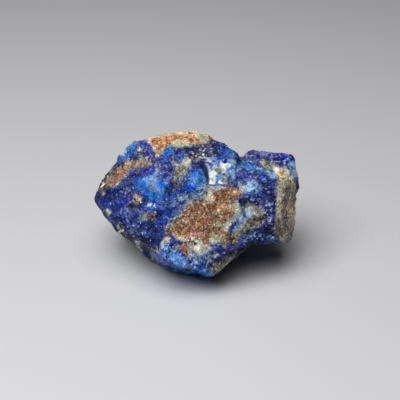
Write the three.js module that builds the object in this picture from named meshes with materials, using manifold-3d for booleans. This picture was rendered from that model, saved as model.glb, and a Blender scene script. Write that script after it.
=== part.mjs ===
// An afghanite specimen: one broken lump of blue afghanite and lazurite grown through marble, 33 mm long.
// A big blunt body tapers to a point at the left. A smaller lobe stands against its right end, clear of the table.
// Everything is in millimetres, +Z up, with X along the lump's length and -Y towards its best face.
import * as THREE from "three";
import { ImprovedNoise } from "three/addons/math/ImprovedNoise.js";
import { mergeVertices } from "three/addons/utils/BufferGeometryUtils.js";
import Module from "manifold-3d";

const STONE_COLOUR = 0x2b3f8f;
const STONE_ROUGHNESS = 0.55;
const WELD = 1e-4;

// The surface is a ball's points, each moved along its own ray from the heart of the lump to where the stone ends.
const HEART = new THREE.Vector3(0, -0.5, 10);
const BALL_DETAIL = 15;
const OUTSIDE = 30;
const HALVINGS = 26;

// Unevenness of a broken face: the height of the bumps and how far apart they lie.
const BUMP_HEIGHT = 0.35;
const BUMP_SPACING = 4.2;

// How gently one lobe runs into the next: a larger number leaves a sharper valley.
const VALLEY = 14;

// A lobe is a blunt block around its middle. Each flat is the way it faces and how far it lies from the middle.
// Edge is how crisp the edges between the flats are: a larger number is crisper.
const BODY = {
  middle: [-3, -0.5, 10.5],
  edge: 13,
  flats: [
    [0.05, -0.87, 0.45, 8.6], // best face
    [0, -0.5, 0.87, 10.2], // slope above the best face
    [-0.55, -0.75, 0.25, 9.6], // left of the best face
    [-0.55, -0.3, 0.75, 10.8], // bevel down to the point
    [0.05, 0.15, 1, 11.5], // crown
    [0.6, -0.55, 0.55, 12.3], // shoulder above the neck
    [0.35, -0.75, -0.6, 14.6], // toe
    [-0.4, -0.6, -0.7, 10.1], // undercut left of the toe
    [-0.72, -0.4, -0.57, 10.1], // undercut below the point
    [0.64, -0.42, -0.64, 12.7], // undercut below the neck
    [-0.9, 0.35, -0.05, 13.2],
    [-0.5, 0.6, 0.6, 11.6],
    [0.6, 0.4, 0.75, 12.9],
    [0, 0.95, 0.3, 11.2],
    [0.1, 0.75, -0.65, 11.0],
    [0.75, 0.65, 0, 11.0],
    [0, 0, -1, 11.2], // underside
  ],
};

const SIDE_LOBE = {
  middle: [10.5, 0, 10.6],
  edge: 15,
  flats: [
    [-0.1, -0.95, 0.3, 7.6],
    [0.1, -0.4, 0.9, 7.8],
    [0.75, -0.6, 0.15, 6.7],
    [1, 0.1, -0.05, 6.0],
    [-0.1, 0.1, 1, 7.5],
    [0.7, 0.1, 0.7, 9.9],
    [0.25, -0.5, -0.8, 7.0],
    [0.8, -0.1, -0.6, 7.7],
    [0.6, 0.7, 0.3, 7.4],
    [-0.2, 1, 0, 7.4],
    [0.3, 0.6, -0.7, 7.2],
    [-0.6, 0.1, 0.8, 6.9],
    [-1, 0, 0, 8.0],
  ],
};

const LOBES = [BODY, SIDE_LOBE].map(({ middle, edge, flats }) => ({
  middle: new THREE.Vector3(...middle),
  edge,
  flats: flats.map(([x, y, z, distance]) => ({ normal: new THREE.Vector3(x, y, z).normalize(), distance })),
}));

const noise = new ImprovedNoise();

/** How far out a place lies in a lobe: 0 at its middle, 1 on its surface, and more outside. */
function depthIn({ middle, edge, flats }, place) {
  const offset = place.clone().sub(middle);
  const sum = flats.reduce((all, { normal, distance }) => all + Math.max(0, normal.dot(offset) / distance) ** edge, 0);
  return sum ** (1 / edge);
}

/** The same for the whole lump, where the lobes run together. */
function depthInStone(place) {
  const sum = LOBES.reduce((all, lobe) => all + Math.max(depthIn(lobe, place), WELD) ** -VALLEY, 0);
  return sum ** (-1 / VALLEY);
}

/** How far the stone reaches from its heart along a unit direction, bumps and all. */
function reach(direction) {
  let [near, far] = [0, OUTSIDE];
  for (let i = 0; i < HALVINGS; i++) {
    const middle = (near + far) / 2;
    const inside = depthInStone(direction.clone().multiplyScalar(middle).add(HEART)) < 1;
    [near, far] = inside ? [middle, far] : [near, middle];
  }
  const grid = direction.clone().multiplyScalar(near / BUMP_SPACING);
  return near + BUMP_HEIGHT * noise.noise(grid.x, grid.y, grid.z);
}

/** The lump before it is cut flat below. */
function lumpGeometry() {
  const ball = new THREE.IcosahedronGeometry(1, BALL_DETAIL);
  ball.deleteAttribute("normal");
  ball.deleteAttribute("uv");
  const geometry = mergeVertices(ball, WELD);
  const places = geometry.getAttribute("position");
  const direction = new THREE.Vector3();
  for (let i = 0; i < places.count; i++) {
    direction.fromBufferAttribute(places, i).normalize();
    const place = direction.clone().multiplyScalar(reach(direction)).add(HEART);
    places.setXYZ(i, place.x, place.y, place.z);
  }
  return geometry;
}

const wasm = await Module();
wasm.setup();

/** A three.js geometry as a manifold-3d solid. */
function solidOf(geometry) {
  const bare = geometry.clone();
  bare.deleteAttribute("normal");
  bare.deleteAttribute("uv");
  const merged = mergeVertices(bare, WELD);
  return new wasm.Manifold(
    new wasm.Mesh({
      numProp: 3,
      vertProperties: new Float32Array(merged.getAttribute("position").array),
      triVerts: new Uint32Array(merged.index.array),
    }),
  );
}

/** A manifold-3d solid as a three.js geometry. */
function geometryOf(solid) {
  const mesh = solid.getMesh();
  const geometry = new THREE.BufferGeometry();
  geometry.setAttribute("position", new THREE.BufferAttribute(new Float32Array(mesh.vertProperties), 3));
  geometry.setIndex(new THREE.BufferAttribute(new Uint32Array(mesh.triVerts), 1));
  geometry.computeVertexNormals();
  return geometry;
}

/** The box that cuts the underside flat, so that the lump rests as it stands. */
function tableCut() {
  const size = 60;
  return new THREE.BoxGeometry(size, size, size).translate(0, 0, -size / 2);
}

/** The whole lump, cut flat where it rests, with its origin below its middle. */
function stoneGeometry() {
  const geometry = geometryOf(solidOf(lumpGeometry()).subtract(solidOf(tableCut())));
  geometry.computeBoundingBox();
  const middle = geometry.boundingBox.getCenter(new THREE.Vector3());
  return geometry.translate(-middle.x, -middle.y, -geometry.boundingBox.min.z);
}

const specimen = new THREE.Group();
const stone = new THREE.Mesh(
  stoneGeometry(),
  new THREE.MeshStandardMaterial({ color: STONE_COLOUR, roughness: STONE_ROUGHNESS, metalness: 0 }),
);
stone.name = "afghanite_stone";
specimen.add(stone);

export default specimen;
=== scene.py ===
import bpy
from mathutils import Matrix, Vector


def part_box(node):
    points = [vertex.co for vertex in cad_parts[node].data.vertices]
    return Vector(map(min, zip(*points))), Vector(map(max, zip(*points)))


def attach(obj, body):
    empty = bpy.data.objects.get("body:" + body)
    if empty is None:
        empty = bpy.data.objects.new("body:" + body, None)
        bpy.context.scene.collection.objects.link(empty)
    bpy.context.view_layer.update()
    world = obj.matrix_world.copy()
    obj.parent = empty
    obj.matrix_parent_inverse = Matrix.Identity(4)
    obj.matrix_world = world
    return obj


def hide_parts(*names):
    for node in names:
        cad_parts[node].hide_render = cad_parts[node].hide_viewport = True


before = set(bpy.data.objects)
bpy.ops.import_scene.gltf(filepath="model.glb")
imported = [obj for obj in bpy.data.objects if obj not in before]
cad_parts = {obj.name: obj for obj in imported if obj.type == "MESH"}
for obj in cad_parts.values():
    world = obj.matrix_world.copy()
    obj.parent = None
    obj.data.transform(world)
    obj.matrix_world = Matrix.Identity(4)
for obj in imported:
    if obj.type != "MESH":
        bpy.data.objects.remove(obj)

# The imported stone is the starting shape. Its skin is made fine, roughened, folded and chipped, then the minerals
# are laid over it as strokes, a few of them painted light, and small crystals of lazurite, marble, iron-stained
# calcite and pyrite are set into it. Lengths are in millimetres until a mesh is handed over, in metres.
"""An afghanite specimen: a broken lump of blue afghanite and lazurite in white and rust-stained marble.

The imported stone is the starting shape. Its skin is made fine, roughened, folded and chipped, then the minerals are
laid over it as hand-placed strokes, and small crystals of lazurite, marble, iron-stained calcite and pyrite are set
into it. Lengths are in millimetres until a mesh is handed over, in metres.
"""

import logging
import math
from dataclasses import dataclass, field
from enum import Enum

import bmesh
import bpy
import numpy as np
from mathutils import Euler, Matrix, Vector, kdtree, noise

LOG = logging.getLogger("specimen")
STONE_NODE = "afghanite_stone"
BODY = "root"
MM = 0.001
AIM_DROP = 0.4  # how far below the stone's middle every side's view is centred, in mm
CLOUD_ROUGHNESS = 0.6
MOST_CLOUDS = (0.3, 0.7)  # the range that most of a noise field lies in
SEED_STEP = (17.3, -9.1, 5.7)  # how far each seed shifts a random field, in its own lumps
EYE_GAMMA = 2.2

Array = np.ndarray
Path = tuple[tuple[float, float, float], ...]
Paint = tuple[int, int, int]
Socket = bpy.types.NodeSocket


class Channel(Enum):
    """What is known at each point of the skin besides its tint, kept as a named attribute of the mesh.

    GRIT is how gritty it is, NEST how much of it is a nest of pyrite, and HOLLOW how deep it is sunk, in mm, which
    the finish turns into painted shade.
    """

    GRIT = "grit"
    NEST = "nest"
    HOLLOW = "hollow"


class Tint(Enum):
    """The minerals' tints: red, green and blue from 0 to 255, then how gritty they are, from 0 to 1."""

    INK = (14, 14, 38, 0.3)
    NAVY = (25, 34, 90, 0.45)
    ULTRA = (40, 55, 134, 0.5)
    VIVID = (35, 49, 171, 0.4)
    COBALT = (52, 82, 152, 0.4)
    AZURE = (72, 114, 184, 0.15)
    SKY = (108, 148, 206, 0.1)
    POWDER = (150, 168, 200, 0.05)
    VIOLET = (68, 63, 135, 0.55)
    LILAC = (146, 145, 195, 0.5)
    SLATE = (92, 112, 158, 0.45)
    DUSK = (62, 60, 96, 0.8)
    TEAL = (74, 115, 146, 0.15)
    HAZE = (146, 170, 190, 0.3)
    ICE = (206, 220, 236, 0.5)
    WHITE = (240, 247, 246, 0.2)
    CHALK = (170, 166, 168, 0.5)
    CREAM = (206, 194, 164, 0.4)
    SAGE = (168, 168, 142, 0.4)
    PUTTY = (140, 132, 122, 0.8)
    OLIVE = (116, 112, 84, 0.6)
    SMOKE = (76, 68, 68, 0.7)
    TAN = (174, 146, 110, 0.7)
    OCHRE = (174, 137, 90, 0.6)
    UMBER = (120, 82, 56, 1.0)
    MAROON = (112, 66, 50, 0.9)
    RUST = (160, 92, 46, 0.8)
    ORANGE = (198, 130, 82, 0.6)
    EMBER = (176, 62, 34, 0.7)
    PEACH = (236, 200, 168, 0.5)
    ROSE = (172, 134, 122, 0.9)
    NEST = (34, 26, 30, 0.9)

    @property
    def colour(self) -> Array:
        """Its red, green and blue, from 0 to 1."""
        return np.array(self.value[:3]) / 255

    @property
    def grit(self) -> float:
        """How gritty it is, from 0 to 1."""
        return self.value[3]


class Family(Enum):
    """The kinds of mineral, told apart by how much redder than blue their tints are.

    BLUE ends and RUST begins over the range given. MARBLE sets in over the first range and ends over the second.
    """

    BLUE = (-0.24, -0.08)
    RUST = (0.14, 0.26)
    MARBLE = (-0.16, 0.0, 0.1, 0.2)

    def share(self, tint: Array) -> Array:
        """How far each tint belongs to the kind.

        Args:
            tint: Red, green and blue of each point, from 0 to 1.

        Returns:
            A share from 0 to 1 a point.
        """
        warmth = tint[:, 0] - tint[:, 2]
        if self is Family.BLUE:
            return 1 - smooth_step(*self.value, warmth)
        if self is Family.RUST:
            return smooth_step(*self.value, warmth)
        return smooth_step(*self.value[:2], warmth) * (1 - smooth_step(*self.value[2:], warmth))


class Side(Enum):
    """A way of looking at the stone: azimuth and elevation in degrees. Azimuth 0 faces the best face."""

    BEST = (0.0, 30.0)
    BACK = (180.0, 25.0)
    RIGHT = (90.0, 10.0)
    LEFT = (270.0, 10.0)
    CROWN = (0.0, 88.0)
    UNDER = (0.0, -70.0)


def read_row(words: list[str]) -> tuple[list[float], Path]:
    """Reads a table's row: numbers in hundredths, then a path's across,up,half-width points in tenths of a mm."""
    numbers = [int(word) / 100 for word in words if "," not in word]
    return numbers, tuple(tuple(int(part) / 10 for part in word.split(",")) for word in words if "," in word)


@dataclass(frozen=True)
class Stroke:
    """One patch or band of a mineral, brushed along a path as seen from one side; a few strokes are painted light
    instead: glints, highlights and paler tints on shaded faces.

    Attributes:
        tint: What is laid down.
        path: Points of (across, up, half-width), in mm from the stone's middle.
        edge: Half the width over which it fades out, in mm.
        cover: How much of what lies under it is hidden, from 0 to 1.
        broken: The share of it that is missing, from 0 to 1, where it is broken up into bits.
    """

    tint: Tint
    path: Path
    edge: float
    cover: float
    broken: float

    @classmethod
    def rows(cls, text: str) -> "tuple[Stroke, ...]":
        """Reads strokes, one a line: the tint, edge, cover and broken share, then the path's points.

        Args:
            text: The lines. A broken share of nothing is left out. A line that starts with # names those under it.

        Returns:
            The strokes, in order.
        """
        strokes = []
        for name, *words in (line.split() for line in text.strip().splitlines() if not line.startswith("#")):
            (edge, cover, *broken), path = read_row(words)
            strokes.append(cls(Tint[name], path, edge, cover, sum(broken)))
        return tuple(strokes)


@dataclass(frozen=True)
class Fold:
    """A ridge, crack, bulge or hollow along a path as seen from one side.

    Attributes:
        height: How far it stands out, or in if negative, in mm.
        path: Points of (across, up, half-width), in mm from the stone's middle.
        crisp: 0 for a soft round section, 1 for one that drops sharply at its rim.
    """

    height: float
    path: Path
    crisp: float

    @classmethod
    def rows(cls, text: str) -> "tuple[Fold, ...]":
        """Reads folds, one a line: the height and crispness, then the path's points."""
        rows = (read_row(line.split()) for line in text.strip().splitlines())
        return tuple(cls(height, path, crisp) for (height, crisp), path in rows)

    @classmethod
    def knobs(cls, width: float, text: str) -> "tuple[Fold, ...]":
        """Reads round knobs of one half-width in mm, each height,across,up in hundredths, tenths and tenths."""
        knobs = ([int(part) for part in word.split(",")] for word in text.split())
        return tuple(cls(height / 100, ((across / 10, up / 10, width),), 0.0) for height, across, up in knobs)


def unit(vectors: Array) -> Array:
    """The same vectors, each one long."""
    return vectors / np.maximum(np.linalg.norm(vectors, axis=-1, keepdims=True), 1e-12)


def smooth_step(low: float, high: float, value: Array) -> Array:
    """0 below low, 1 above high, and an even S between them."""
    share = np.clip((value - low) / (high - low), 0.0, 1.0)
    return share * share * (3.0 - 2.0 * share)


def linear_parts(parts: Array) -> Array:
    """The parts of a shown colour, 0 to 1 each, as the shader's linear ones."""
    return np.where(parts <= 0.04045, parts / 12.92, ((parts + 0.055) / 1.055) ** 2.4)


def linear(red: int, green: int, blue: int) -> tuple[float, float, float, float]:
    """A paint-chart colour, 0 to 255 each, as the shader's linear colour."""
    return (*linear_parts(np.array((red, green, blue)) / 255).tolist(), 1.0)


def drift(points: Array, spacing: float, seed: float, octaves: int = 3) -> Array:
    """Smooth random values of about -1 to 1 at each point.

    Args:
        points: Places, in mm.
        spacing: How far apart the lumps of the field lie, in mm.
        seed: Shifts the field, so that each use has its own.
        octaves: How many finer layers are added.

    Returns:
        One value a point.
    """
    shift = Vector([seed * step for step in SEED_STEP])
    finer, fainter = 2.0, 1.0
    return np.array([noise.fractal(Vector(p) / spacing + shift, fainter, finer, octaves) for p in points.tolist()])


def pair_drift(points: Array, spacing: float, seed: float, octaves: int = 3) -> Array:
    """Two fields of drift side by side, the second with the next seed, to shift places across and up."""
    return np.stack([drift(points, spacing, seed, octaves), drift(points, spacing, seed + 1, octaves)], axis=1)


def mesh_of(shape: bmesh.types.BMesh, name: str) -> bpy.types.Mesh:
    """Turns a shape into a mesh, and lets go of the shape.

    Args:
        shape: The shape, which can't be used afterwards.
        name: What the mesh is called.

    Returns:
        The mesh.
    """
    mesh = bpy.data.meshes.new(name)
    shape.to_mesh(mesh)
    shape.free()
    return mesh


def put(name: str, data: bpy.types.ID) -> bpy.types.Object:
    """Puts a mesh, a light or a camera into the scene.

    Args:
        name: What its object is called.
        data: The mesh, light or camera.

    Returns:
        The object.
    """
    piece = bpy.data.objects.new(name, data)
    bpy.context.scene.collection.objects.link(piece)
    return piece


def aim_point() -> Vector:
    """The point that every side's view is centred on, in mm."""
    low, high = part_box(STONE_NODE)
    return (low + high) / 2 / MM - Vector((0.0, 0.0, AIM_DROP))


@dataclass(frozen=True)
class Outlook:
    """One side's view of the stone, used to lay things out on it.

    Attributes:
        side: Which side faces the eye.
        middle: What the eye looks at, in mm.
        distance: How far the eye is from there, in mm.
    """

    side: Side
    middle: Vector
    distance: float = 184.3

    @property
    def back(self) -> Vector:
        """The way from the stone to the eye.

        Returns:
            A direction, 1 long.
        """
        azimuth, elevation = (math.radians(a) for a in self.side.value)
        level = math.cos(elevation)
        return Vector((math.sin(azimuth) * level, -math.cos(azimuth) * level, math.sin(elevation)))

    @property
    def right(self) -> Vector:
        """The way to the right, seen from the eye."""
        azimuth = math.radians(self.side.value[0])
        return Vector((math.cos(azimuth), math.sin(azimuth), 0.0))

    @property
    def up(self) -> Vector:
        """The way up, seen from the eye."""
        return self.back.cross(self.right)

    @property
    def eye(self) -> Vector:
        """Where the eye is."""
        return self.middle + self.back * self.distance

    def lay_out(self, points: Array) -> Array:
        """Where points appear from the eye.

        Args:
            points: Places, in mm.

        Returns:
            Across and up for each, in mm at the stone's middle.
        """
        offset = points - np.array(self.eye)
        depth = offset @ -np.array(self.back)
        flat = np.stack([offset @ np.array(self.right), offset @ np.array(self.up)], axis=1)
        return flat / depth[:, None] * self.distance

    def facing(self, points: Array, normals: Array) -> Array:
        """How squarely each point faces the eye, from -1 to 1."""
        return (unit(np.array(self.eye) - points) * normals).sum(axis=1)


def reach_of_path(flat: Array, path: Path) -> Array:
    """How deep places lie within a band of changing width.

    Args:
        flat: Places as (across, up), in mm.
        path: The band's points of (across, up, half-width).

    Returns:
        Distance inside the band's rim, negative outside it, in mm.
    """
    best = np.full(len(flat), -1e9)
    knots = np.array(path, float)
    for start, end in zip(knots, knots[1:] if len(knots) > 1 else knots):
        way = end[:2] - start[:2]
        length = float(way @ way)
        share = np.clip((flat - start[:2]) @ way / length, 0.0, 1.0) if length else np.zeros(len(flat))
        near = start[:2] + share[:, None] * way
        width = start[2] + share * (end[2] - start[2])
        best = np.maximum(best, width - np.linalg.norm(flat - near, axis=1))
    return best


class Skin:
    """The stone's surface as arrays, while it is shaped and painted."""

    FREE_ABOVE = 1.2  # how high above the table a point moves freely, in mm

    def __init__(self, mesh: bpy.types.Mesh) -> None:
        """Reads a mesh in mm.

        Args:
            mesh: The closed mesh to work on.
        """
        self.mesh = mesh
        count = len(mesh.vertices)
        flat = np.zeros(count * 3)
        mesh.vertices.foreach_get("co", flat)
        self.points = flat.reshape(-1, 3)
        ends = np.zeros(len(mesh.edges) * 2, np.int32)
        mesh.edges.foreach_get("vertices", ends)
        self.edges = ends.reshape(-1, 2)
        mesh.calc_loop_triangles()
        corners = np.zeros(len(mesh.loop_triangles) * 3, np.int32)
        mesh.loop_triangles.foreach_get("vertices", corners)
        self.triangles = corners.reshape(-1, 3)
        self.tint = np.zeros((count, 3))
        self.channels: dict[Channel, Array] = {channel: np.zeros(count) for channel in Channel}

    def normals(self) -> Array:
        """Outward directions at the points.

        Returns:
            One direction a point, each 1 long.
        """
        a, b, c = (self.points[self.triangles[:, i]] for i in range(3))
        flats = np.cross(b - a, c - a)
        total = np.zeros_like(self.points)
        for corner in range(3):
            for axis in range(3):
                total[:, axis] += np.bincount(self.triangles[:, corner], flats[:, axis], len(self.points))
        return unit(total)

    def even_out(self, values: Array, rounds: int) -> Array:
        """Averages values with their neighbours'.

        Args:
            values: One number or one row a point.
            rounds: How many times.

        Returns:
            The smoothed values.
        """
        count = len(self.points)
        first, second = self.edges.T
        share = np.bincount(first, minlength=count) + np.bincount(second, minlength=count)
        rows = values.reshape(count, -1).copy()
        for _ in range(rounds):
            for column in range(rows.shape[1]):
                line = rows[:, column]
                near = np.bincount(first, line[second], count) + np.bincount(second, line[first], count)
                rows[:, column] = 0.5 * line + 0.5 * near / share
        return rows.reshape(values.shape)

    def lift(self, height: Array, normals: Array) -> None:
        """Moves every point out by a height, less and less towards the table.

        Args:
            height: How far, in mm.
            normals: Which way.
        """
        held = smooth_step(0.0, self.FREE_ABOVE, self.points[:, 2])
        self.points += normals * (height * held)[:, None]
        self.points[:, 2] = np.maximum(self.points[:, 2], 0.0)

    def write(self) -> None:
        """Puts the points and channels into the mesh, in metres."""
        self.mesh.vertices.foreach_set("co", (self.points * MM).ravel())
        for channel, values in self.channels.items():
            attribute = self.mesh.attributes.new(channel.value, "FLOAT", "POINT")
            attribute.data.foreach_set("value", values.astype(np.float32))
        paint = self.mesh.attributes.new("tint", "FLOAT_COLOR", "POINT")
        paint.data.foreach_set("color", self.paint().astype(np.float32).ravel())
        self.mesh.update()

    def paint(self) -> Array:
        """The tints as the shader's linear colours, four numbers a point."""
        return np.concatenate([linear_parts(self.tint), np.ones((len(self.tint), 1))], axis=1)


@dataclass
class Carver:
    """Shapes the skin: bumps all over, listed folds, and the flats of a broken surface.

    Attributes:
        skin: What is shaped.
        wander: How far a fold strays from its path, in mm.
        wander_spacing: Over what length it strays, in mm.
        wander_seed: Fixes how it strays.
        soft_rim: How far outside a soft fold's rim it sets in, as a share of its widest half-width.
        sharp_rim: Where a sharp fold sets in and is whole, in mm inside its rim.
        neighbours: How many flats meet at a point, at most.
        steepest: The least that a flat may face the way the skin does, from 0 to 1.
        tallest: How far a flat moves a point at most, as a share of the distance between flats.
    """

    skin: Skin
    wander: float = 0.35
    wander_spacing: float = 2.2
    wander_seed: int = 11
    soft_rim: float = 0.15
    sharp_rim: tuple[float, float] = (-0.1, 0.3)
    neighbours: int = 5
    steepest: float = 0.6
    tallest: float = 0.14

    def fold(self, outlook: Outlook, folds: tuple[Fold, ...], fade: tuple[float, float] = (-0.05, 0.3)) -> None:
        """Raises ridges and bulges and sinks cracks and hollows, seen from one side.

        Args:
            outlook: The side's view.
            folds: What to raise or sink.
            fade: How squarely a point must face the eye for none and for all of it.
        """
        points = self.skin.points
        normals = self.skin.normals()
        seen = smooth_step(*fade, outlook.facing(points, normals))
        flat = outlook.lay_out(points) + pair_drift(points, self.wander_spacing, self.wander_seed, 2) * self.wander
        height = np.zeros(len(points))
        for each in folds:
            widest = max(width for _, _, width in each.path)
            depth = reach_of_path(flat, each.path)
            soft = smooth_step(-self.soft_rim * widest, widest, depth)
            sharp = smooth_step(*self.sharp_rim, depth)
            height += each.height * ((1 - each.crisp) * soft + each.crisp * sharp)
        self.skin.lift(height * seen, normals)

    def chip(self, spacing: float, lean: float, crisp: float, seed: int, share: Array | None = None) -> None:
        """Breaks the surface into flats that meet in edges, like a hackly fracture.

        Args:
            spacing: Distance between flats, in mm.
            lean: How far the flats tilt, as a slope.
            crisp: Sharpness of the edges, per mm. Below 0 the flats meet in creases and not in edges.
            seed: Fixes the draw.
            share: How strongly to chip at each point, or None for fully everywhere.
        """
        points = self.skin.points
        normals = self.skin.normals()
        draw = np.random.default_rng(seed)
        count = int(self.area() / spacing**2)
        chosen = draw.permutation(len(points))[:count]
        seats = points[chosen]
        even = unit(self.skin.even_out(normals, int(8 * spacing) + 2))
        planes = unit(even[chosen] + draw.normal(0, lean, (count, 3)))
        tree = kdtree.KDTree(count)
        for index, seat in enumerate(seats):
            tree.insert(seat, index)
        tree.balance()
        # The first flat past the neighbours sets how far their pull reaches.
        most = self.neighbours
        found = [tree.find_n(p, most + 1) for p in points.tolist()]
        near = np.array([[f[1] for f in row] for row in found])[:, :most]
        gap = np.array([[f[2] for f in row] for row in found])
        weight = (1 - (gap[:, :most] / gap[:, most:]) ** 2) ** 2
        rise = ((seats[near] - points[:, None, :]) * planes[near]).sum(axis=2)
        rise /= np.maximum((planes[near] * even[:, None, :]).sum(axis=2), self.steepest)
        rise = np.clip(rise, -self.tallest * spacing, self.tallest * spacing)
        total = (weight * np.exp(-crisp * rise)).sum(axis=1) / weight.sum(axis=1)
        height = -np.log(total) / crisp
        height -= height.mean()
        self.skin.lift(height if share is None else height * share, even)

    def roughen(self, spacing: float, height: float, seed: float) -> None:
        """Adds uneven bumps, so far apart and so high in mm. The seed shifts their pattern."""
        self.skin.lift(drift(self.skin.points, spacing, seed) * height, self.skin.normals())

    def area(self) -> float:
        """The skin's area, in square mm."""
        a, b, c = (self.skin.points[self.skin.triangles[:, i]] for i in range(3))
        return float(np.linalg.norm(np.cross(b - a, c - a), axis=1).sum() / 2)


@dataclass
class Painter:
    """Lays minerals over the skin, and with them the few strokes of painted light.

    Attributes:
        skin: What is painted.
        outline: How a stroke's outline strays: over what length and how far, both in mm, and a seed.
        grainy: How far it strays from grain to grain, in mm.
        grain: The distance between those grains, in mm.
        grain_seeds: The tints take turns with these.
        turn_rounds: How often the skin is evened out to tell how far it is turned from the eye.
        past_edge: How far past the stone's edge every stroke reaches, as the cosine of its turn from the eye.
        turn_out: How much farther it reaches for each mm of its half-width.
        broadest: The half-width past which it reaches no farther, in mm.
        tear: Half the range over which a broken stroke fades at its gaps.
        calm: The share of the mottling that a smooth mineral has.
        gritty: Where a mineral's grit starts to bring out the rest of the mottling, and where it has it all.
        mottle_seed: The first patchy change's seed. Each later one has the next.
        hollow_rounds: How far around a point its surroundings reach, in rounds of evening out.
    """

    skin: Skin
    outline: tuple[tuple[float, float, int], ...] = ((2.4, 0.05, 21), (0.8, 0.08, 23))
    grainy: float = 0.22
    grain: float = 0.5
    grain_seeds: range = range(25, 29)
    turn_rounds: int = 6
    past_edge: float = 0.12
    turn_out: float = 0.2
    broadest: float = 1.6
    tear: float = 0.08
    calm: float = 0.25
    gritty: tuple[float, float] = (0.2, 0.55)
    mottle_seed: int = 60
    hollow_rounds: int = 14

    def lay(self, tint: Tint, cover: Array) -> None:
        """Lays one mineral.

        Args:
            tint: Which.
            cover: How much of what lies under it is hidden at each point, from 0 to 1.
        """
        channels = self.skin.channels
        self.skin.tint += (tint.colour - self.skin.tint) * cover[:, None]
        channels[Channel.GRIT] += (tint.grit - channels[Channel.GRIT]) * cover
        channels[Channel.NEST] += (float(tint is Tint.NEST) - channels[Channel.NEST]) * cover

    def ground(self) -> None:
        """Spreads the minerals that no stroke covers: mostly deep blue, with veins of marble and rust."""
        self.lay(Tint.ULTRA, np.ones(len(self.skin.points)))
        fields: dict[tuple[float, int], Array] = {}
        for tint, spacing, seed, start, full in GROUND:
            if (spacing, seed) not in fields:
                fields[spacing, seed] = drift(self.skin.points, spacing, seed, 4)
            self.lay(tint, smooth_step(start, full, fields[spacing, seed]))

    def mottle(self) -> None:
        """Breaks every mineral up with patches of its neighbours, most where it is gritty."""
        shares = {family: family.share(self.skin.tint) for family in Family}
        calm = self.calm + (1 - self.calm) * smooth_step(*self.gritty, self.skin.channels[Channel.GRIT])
        for seed, (family, tint, spacing, start, full, most) in enumerate(MOTTLES, self.mottle_seed):
            patch = smooth_step(start, full, drift(self.skin.points, spacing, seed))
            self.lay(tint, patch * shares[family] * calm * most)

    def brush(self, outlook: Outlook, strokes: tuple[Stroke, ...], loose: float = 1.0) -> None:
        """Lays strokes in order, each over the last.

        Args:
            outlook: The side they are seen from.
            strokes: What to lay.
            loose: How many times as uneven as usual their outlines are.
        """
        points = self.skin.points
        facing = outlook.facing(points, unit(self.skin.even_out(self.skin.normals(), self.turn_rounds)))
        flat = outlook.lay_out(points)
        for spacing, size, seed in self.outline:
            flat = flat + size * loose * pair_drift(points, spacing, seed)
        strays = [drift(points, self.grain, seed, 2) for seed in self.grain_seeds]
        tints = list(Tint)
        for stroke in strokes:
            stray = strays[tints.index(stroke.tint) % len(strays)]
            reach = reach_of_path(flat, stroke.path) + self.grainy * stray
            # A small spot does not reach as far round the stone's edge as a broad patch does.
            widest = max(width for _, _, width in stroke.path)
            seen = smooth_step(-self.past_edge - self.turn_out * min(widest, self.broadest), 0.0, facing)
            cover = smooth_step(-stroke.edge, stroke.edge, reach) * seen * stroke.cover
            if stroke.broken:
                gap = np.quantile(stray, stroke.broken)
                cover = cover * smooth_step(gap - self.tear, gap + self.tear, stray)
            self.lay(stroke.tint, cover)

    def settle(self) -> None:
        """Notes how deep each point lies below its surroundings, for the painted shade that the finish lays in
        hollows.
        """
        points = self.skin.points
        sunk = self.skin.even_out(points, self.hollow_rounds) - points
        self.skin.channels[Channel.HOLLOW] = (sunk * self.skin.normals()).sum(axis=1)


# cream on the lobe's shoulder, with a white spot: partly pale marble, partly a painted highlight
# nest specks of cream and peach: partly brassy pyrite, partly painted glints
# nest specks of rust, peach and cream: partly brassy pyrite, partly painted glints
# nest specks of tan, cream, peach and ice: partly brassy pyrite, partly painted glints
# nest specks of tan, peach and cream: partly brassy pyrite, partly painted glints
# painted glint: a white speck on the sage spot
# painted glint: a white speck on the sage spot
# painted glint: white specks where the glassy left tip catches the light
# painted glints: peach and white specks on the brown band
# painted highlight: the bright peach spot on the cap's top edge
# painted light: ice laid thinly at the oval's lower right, against the shade of that hollow
# pale slivers on the lower left rim: pale grains, laid whiter as painted light against the shade of that underside
# pale slivers on the lower left rim: pale grains, laid whiter as painted light against the shade of that underside
# pale specks at the left tip's edge: pale grains, laid whiter as painted glints
# pale specks on the dark lower left rim: pale grains, laid bright as painted glints
# powder and sky at the bottom rim: its own blue, laid paler as painted light against the shade there
# sky at the bottom rim: its own blue, laid paler as painted light against the shade there
# the bottom rim's azure and sky: its own blue, laid paler as painted light against the shade of the downward rim
# the lilac, haze and ice along the crest: partly pale mineral, partly a painted highlight on the crest
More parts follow.
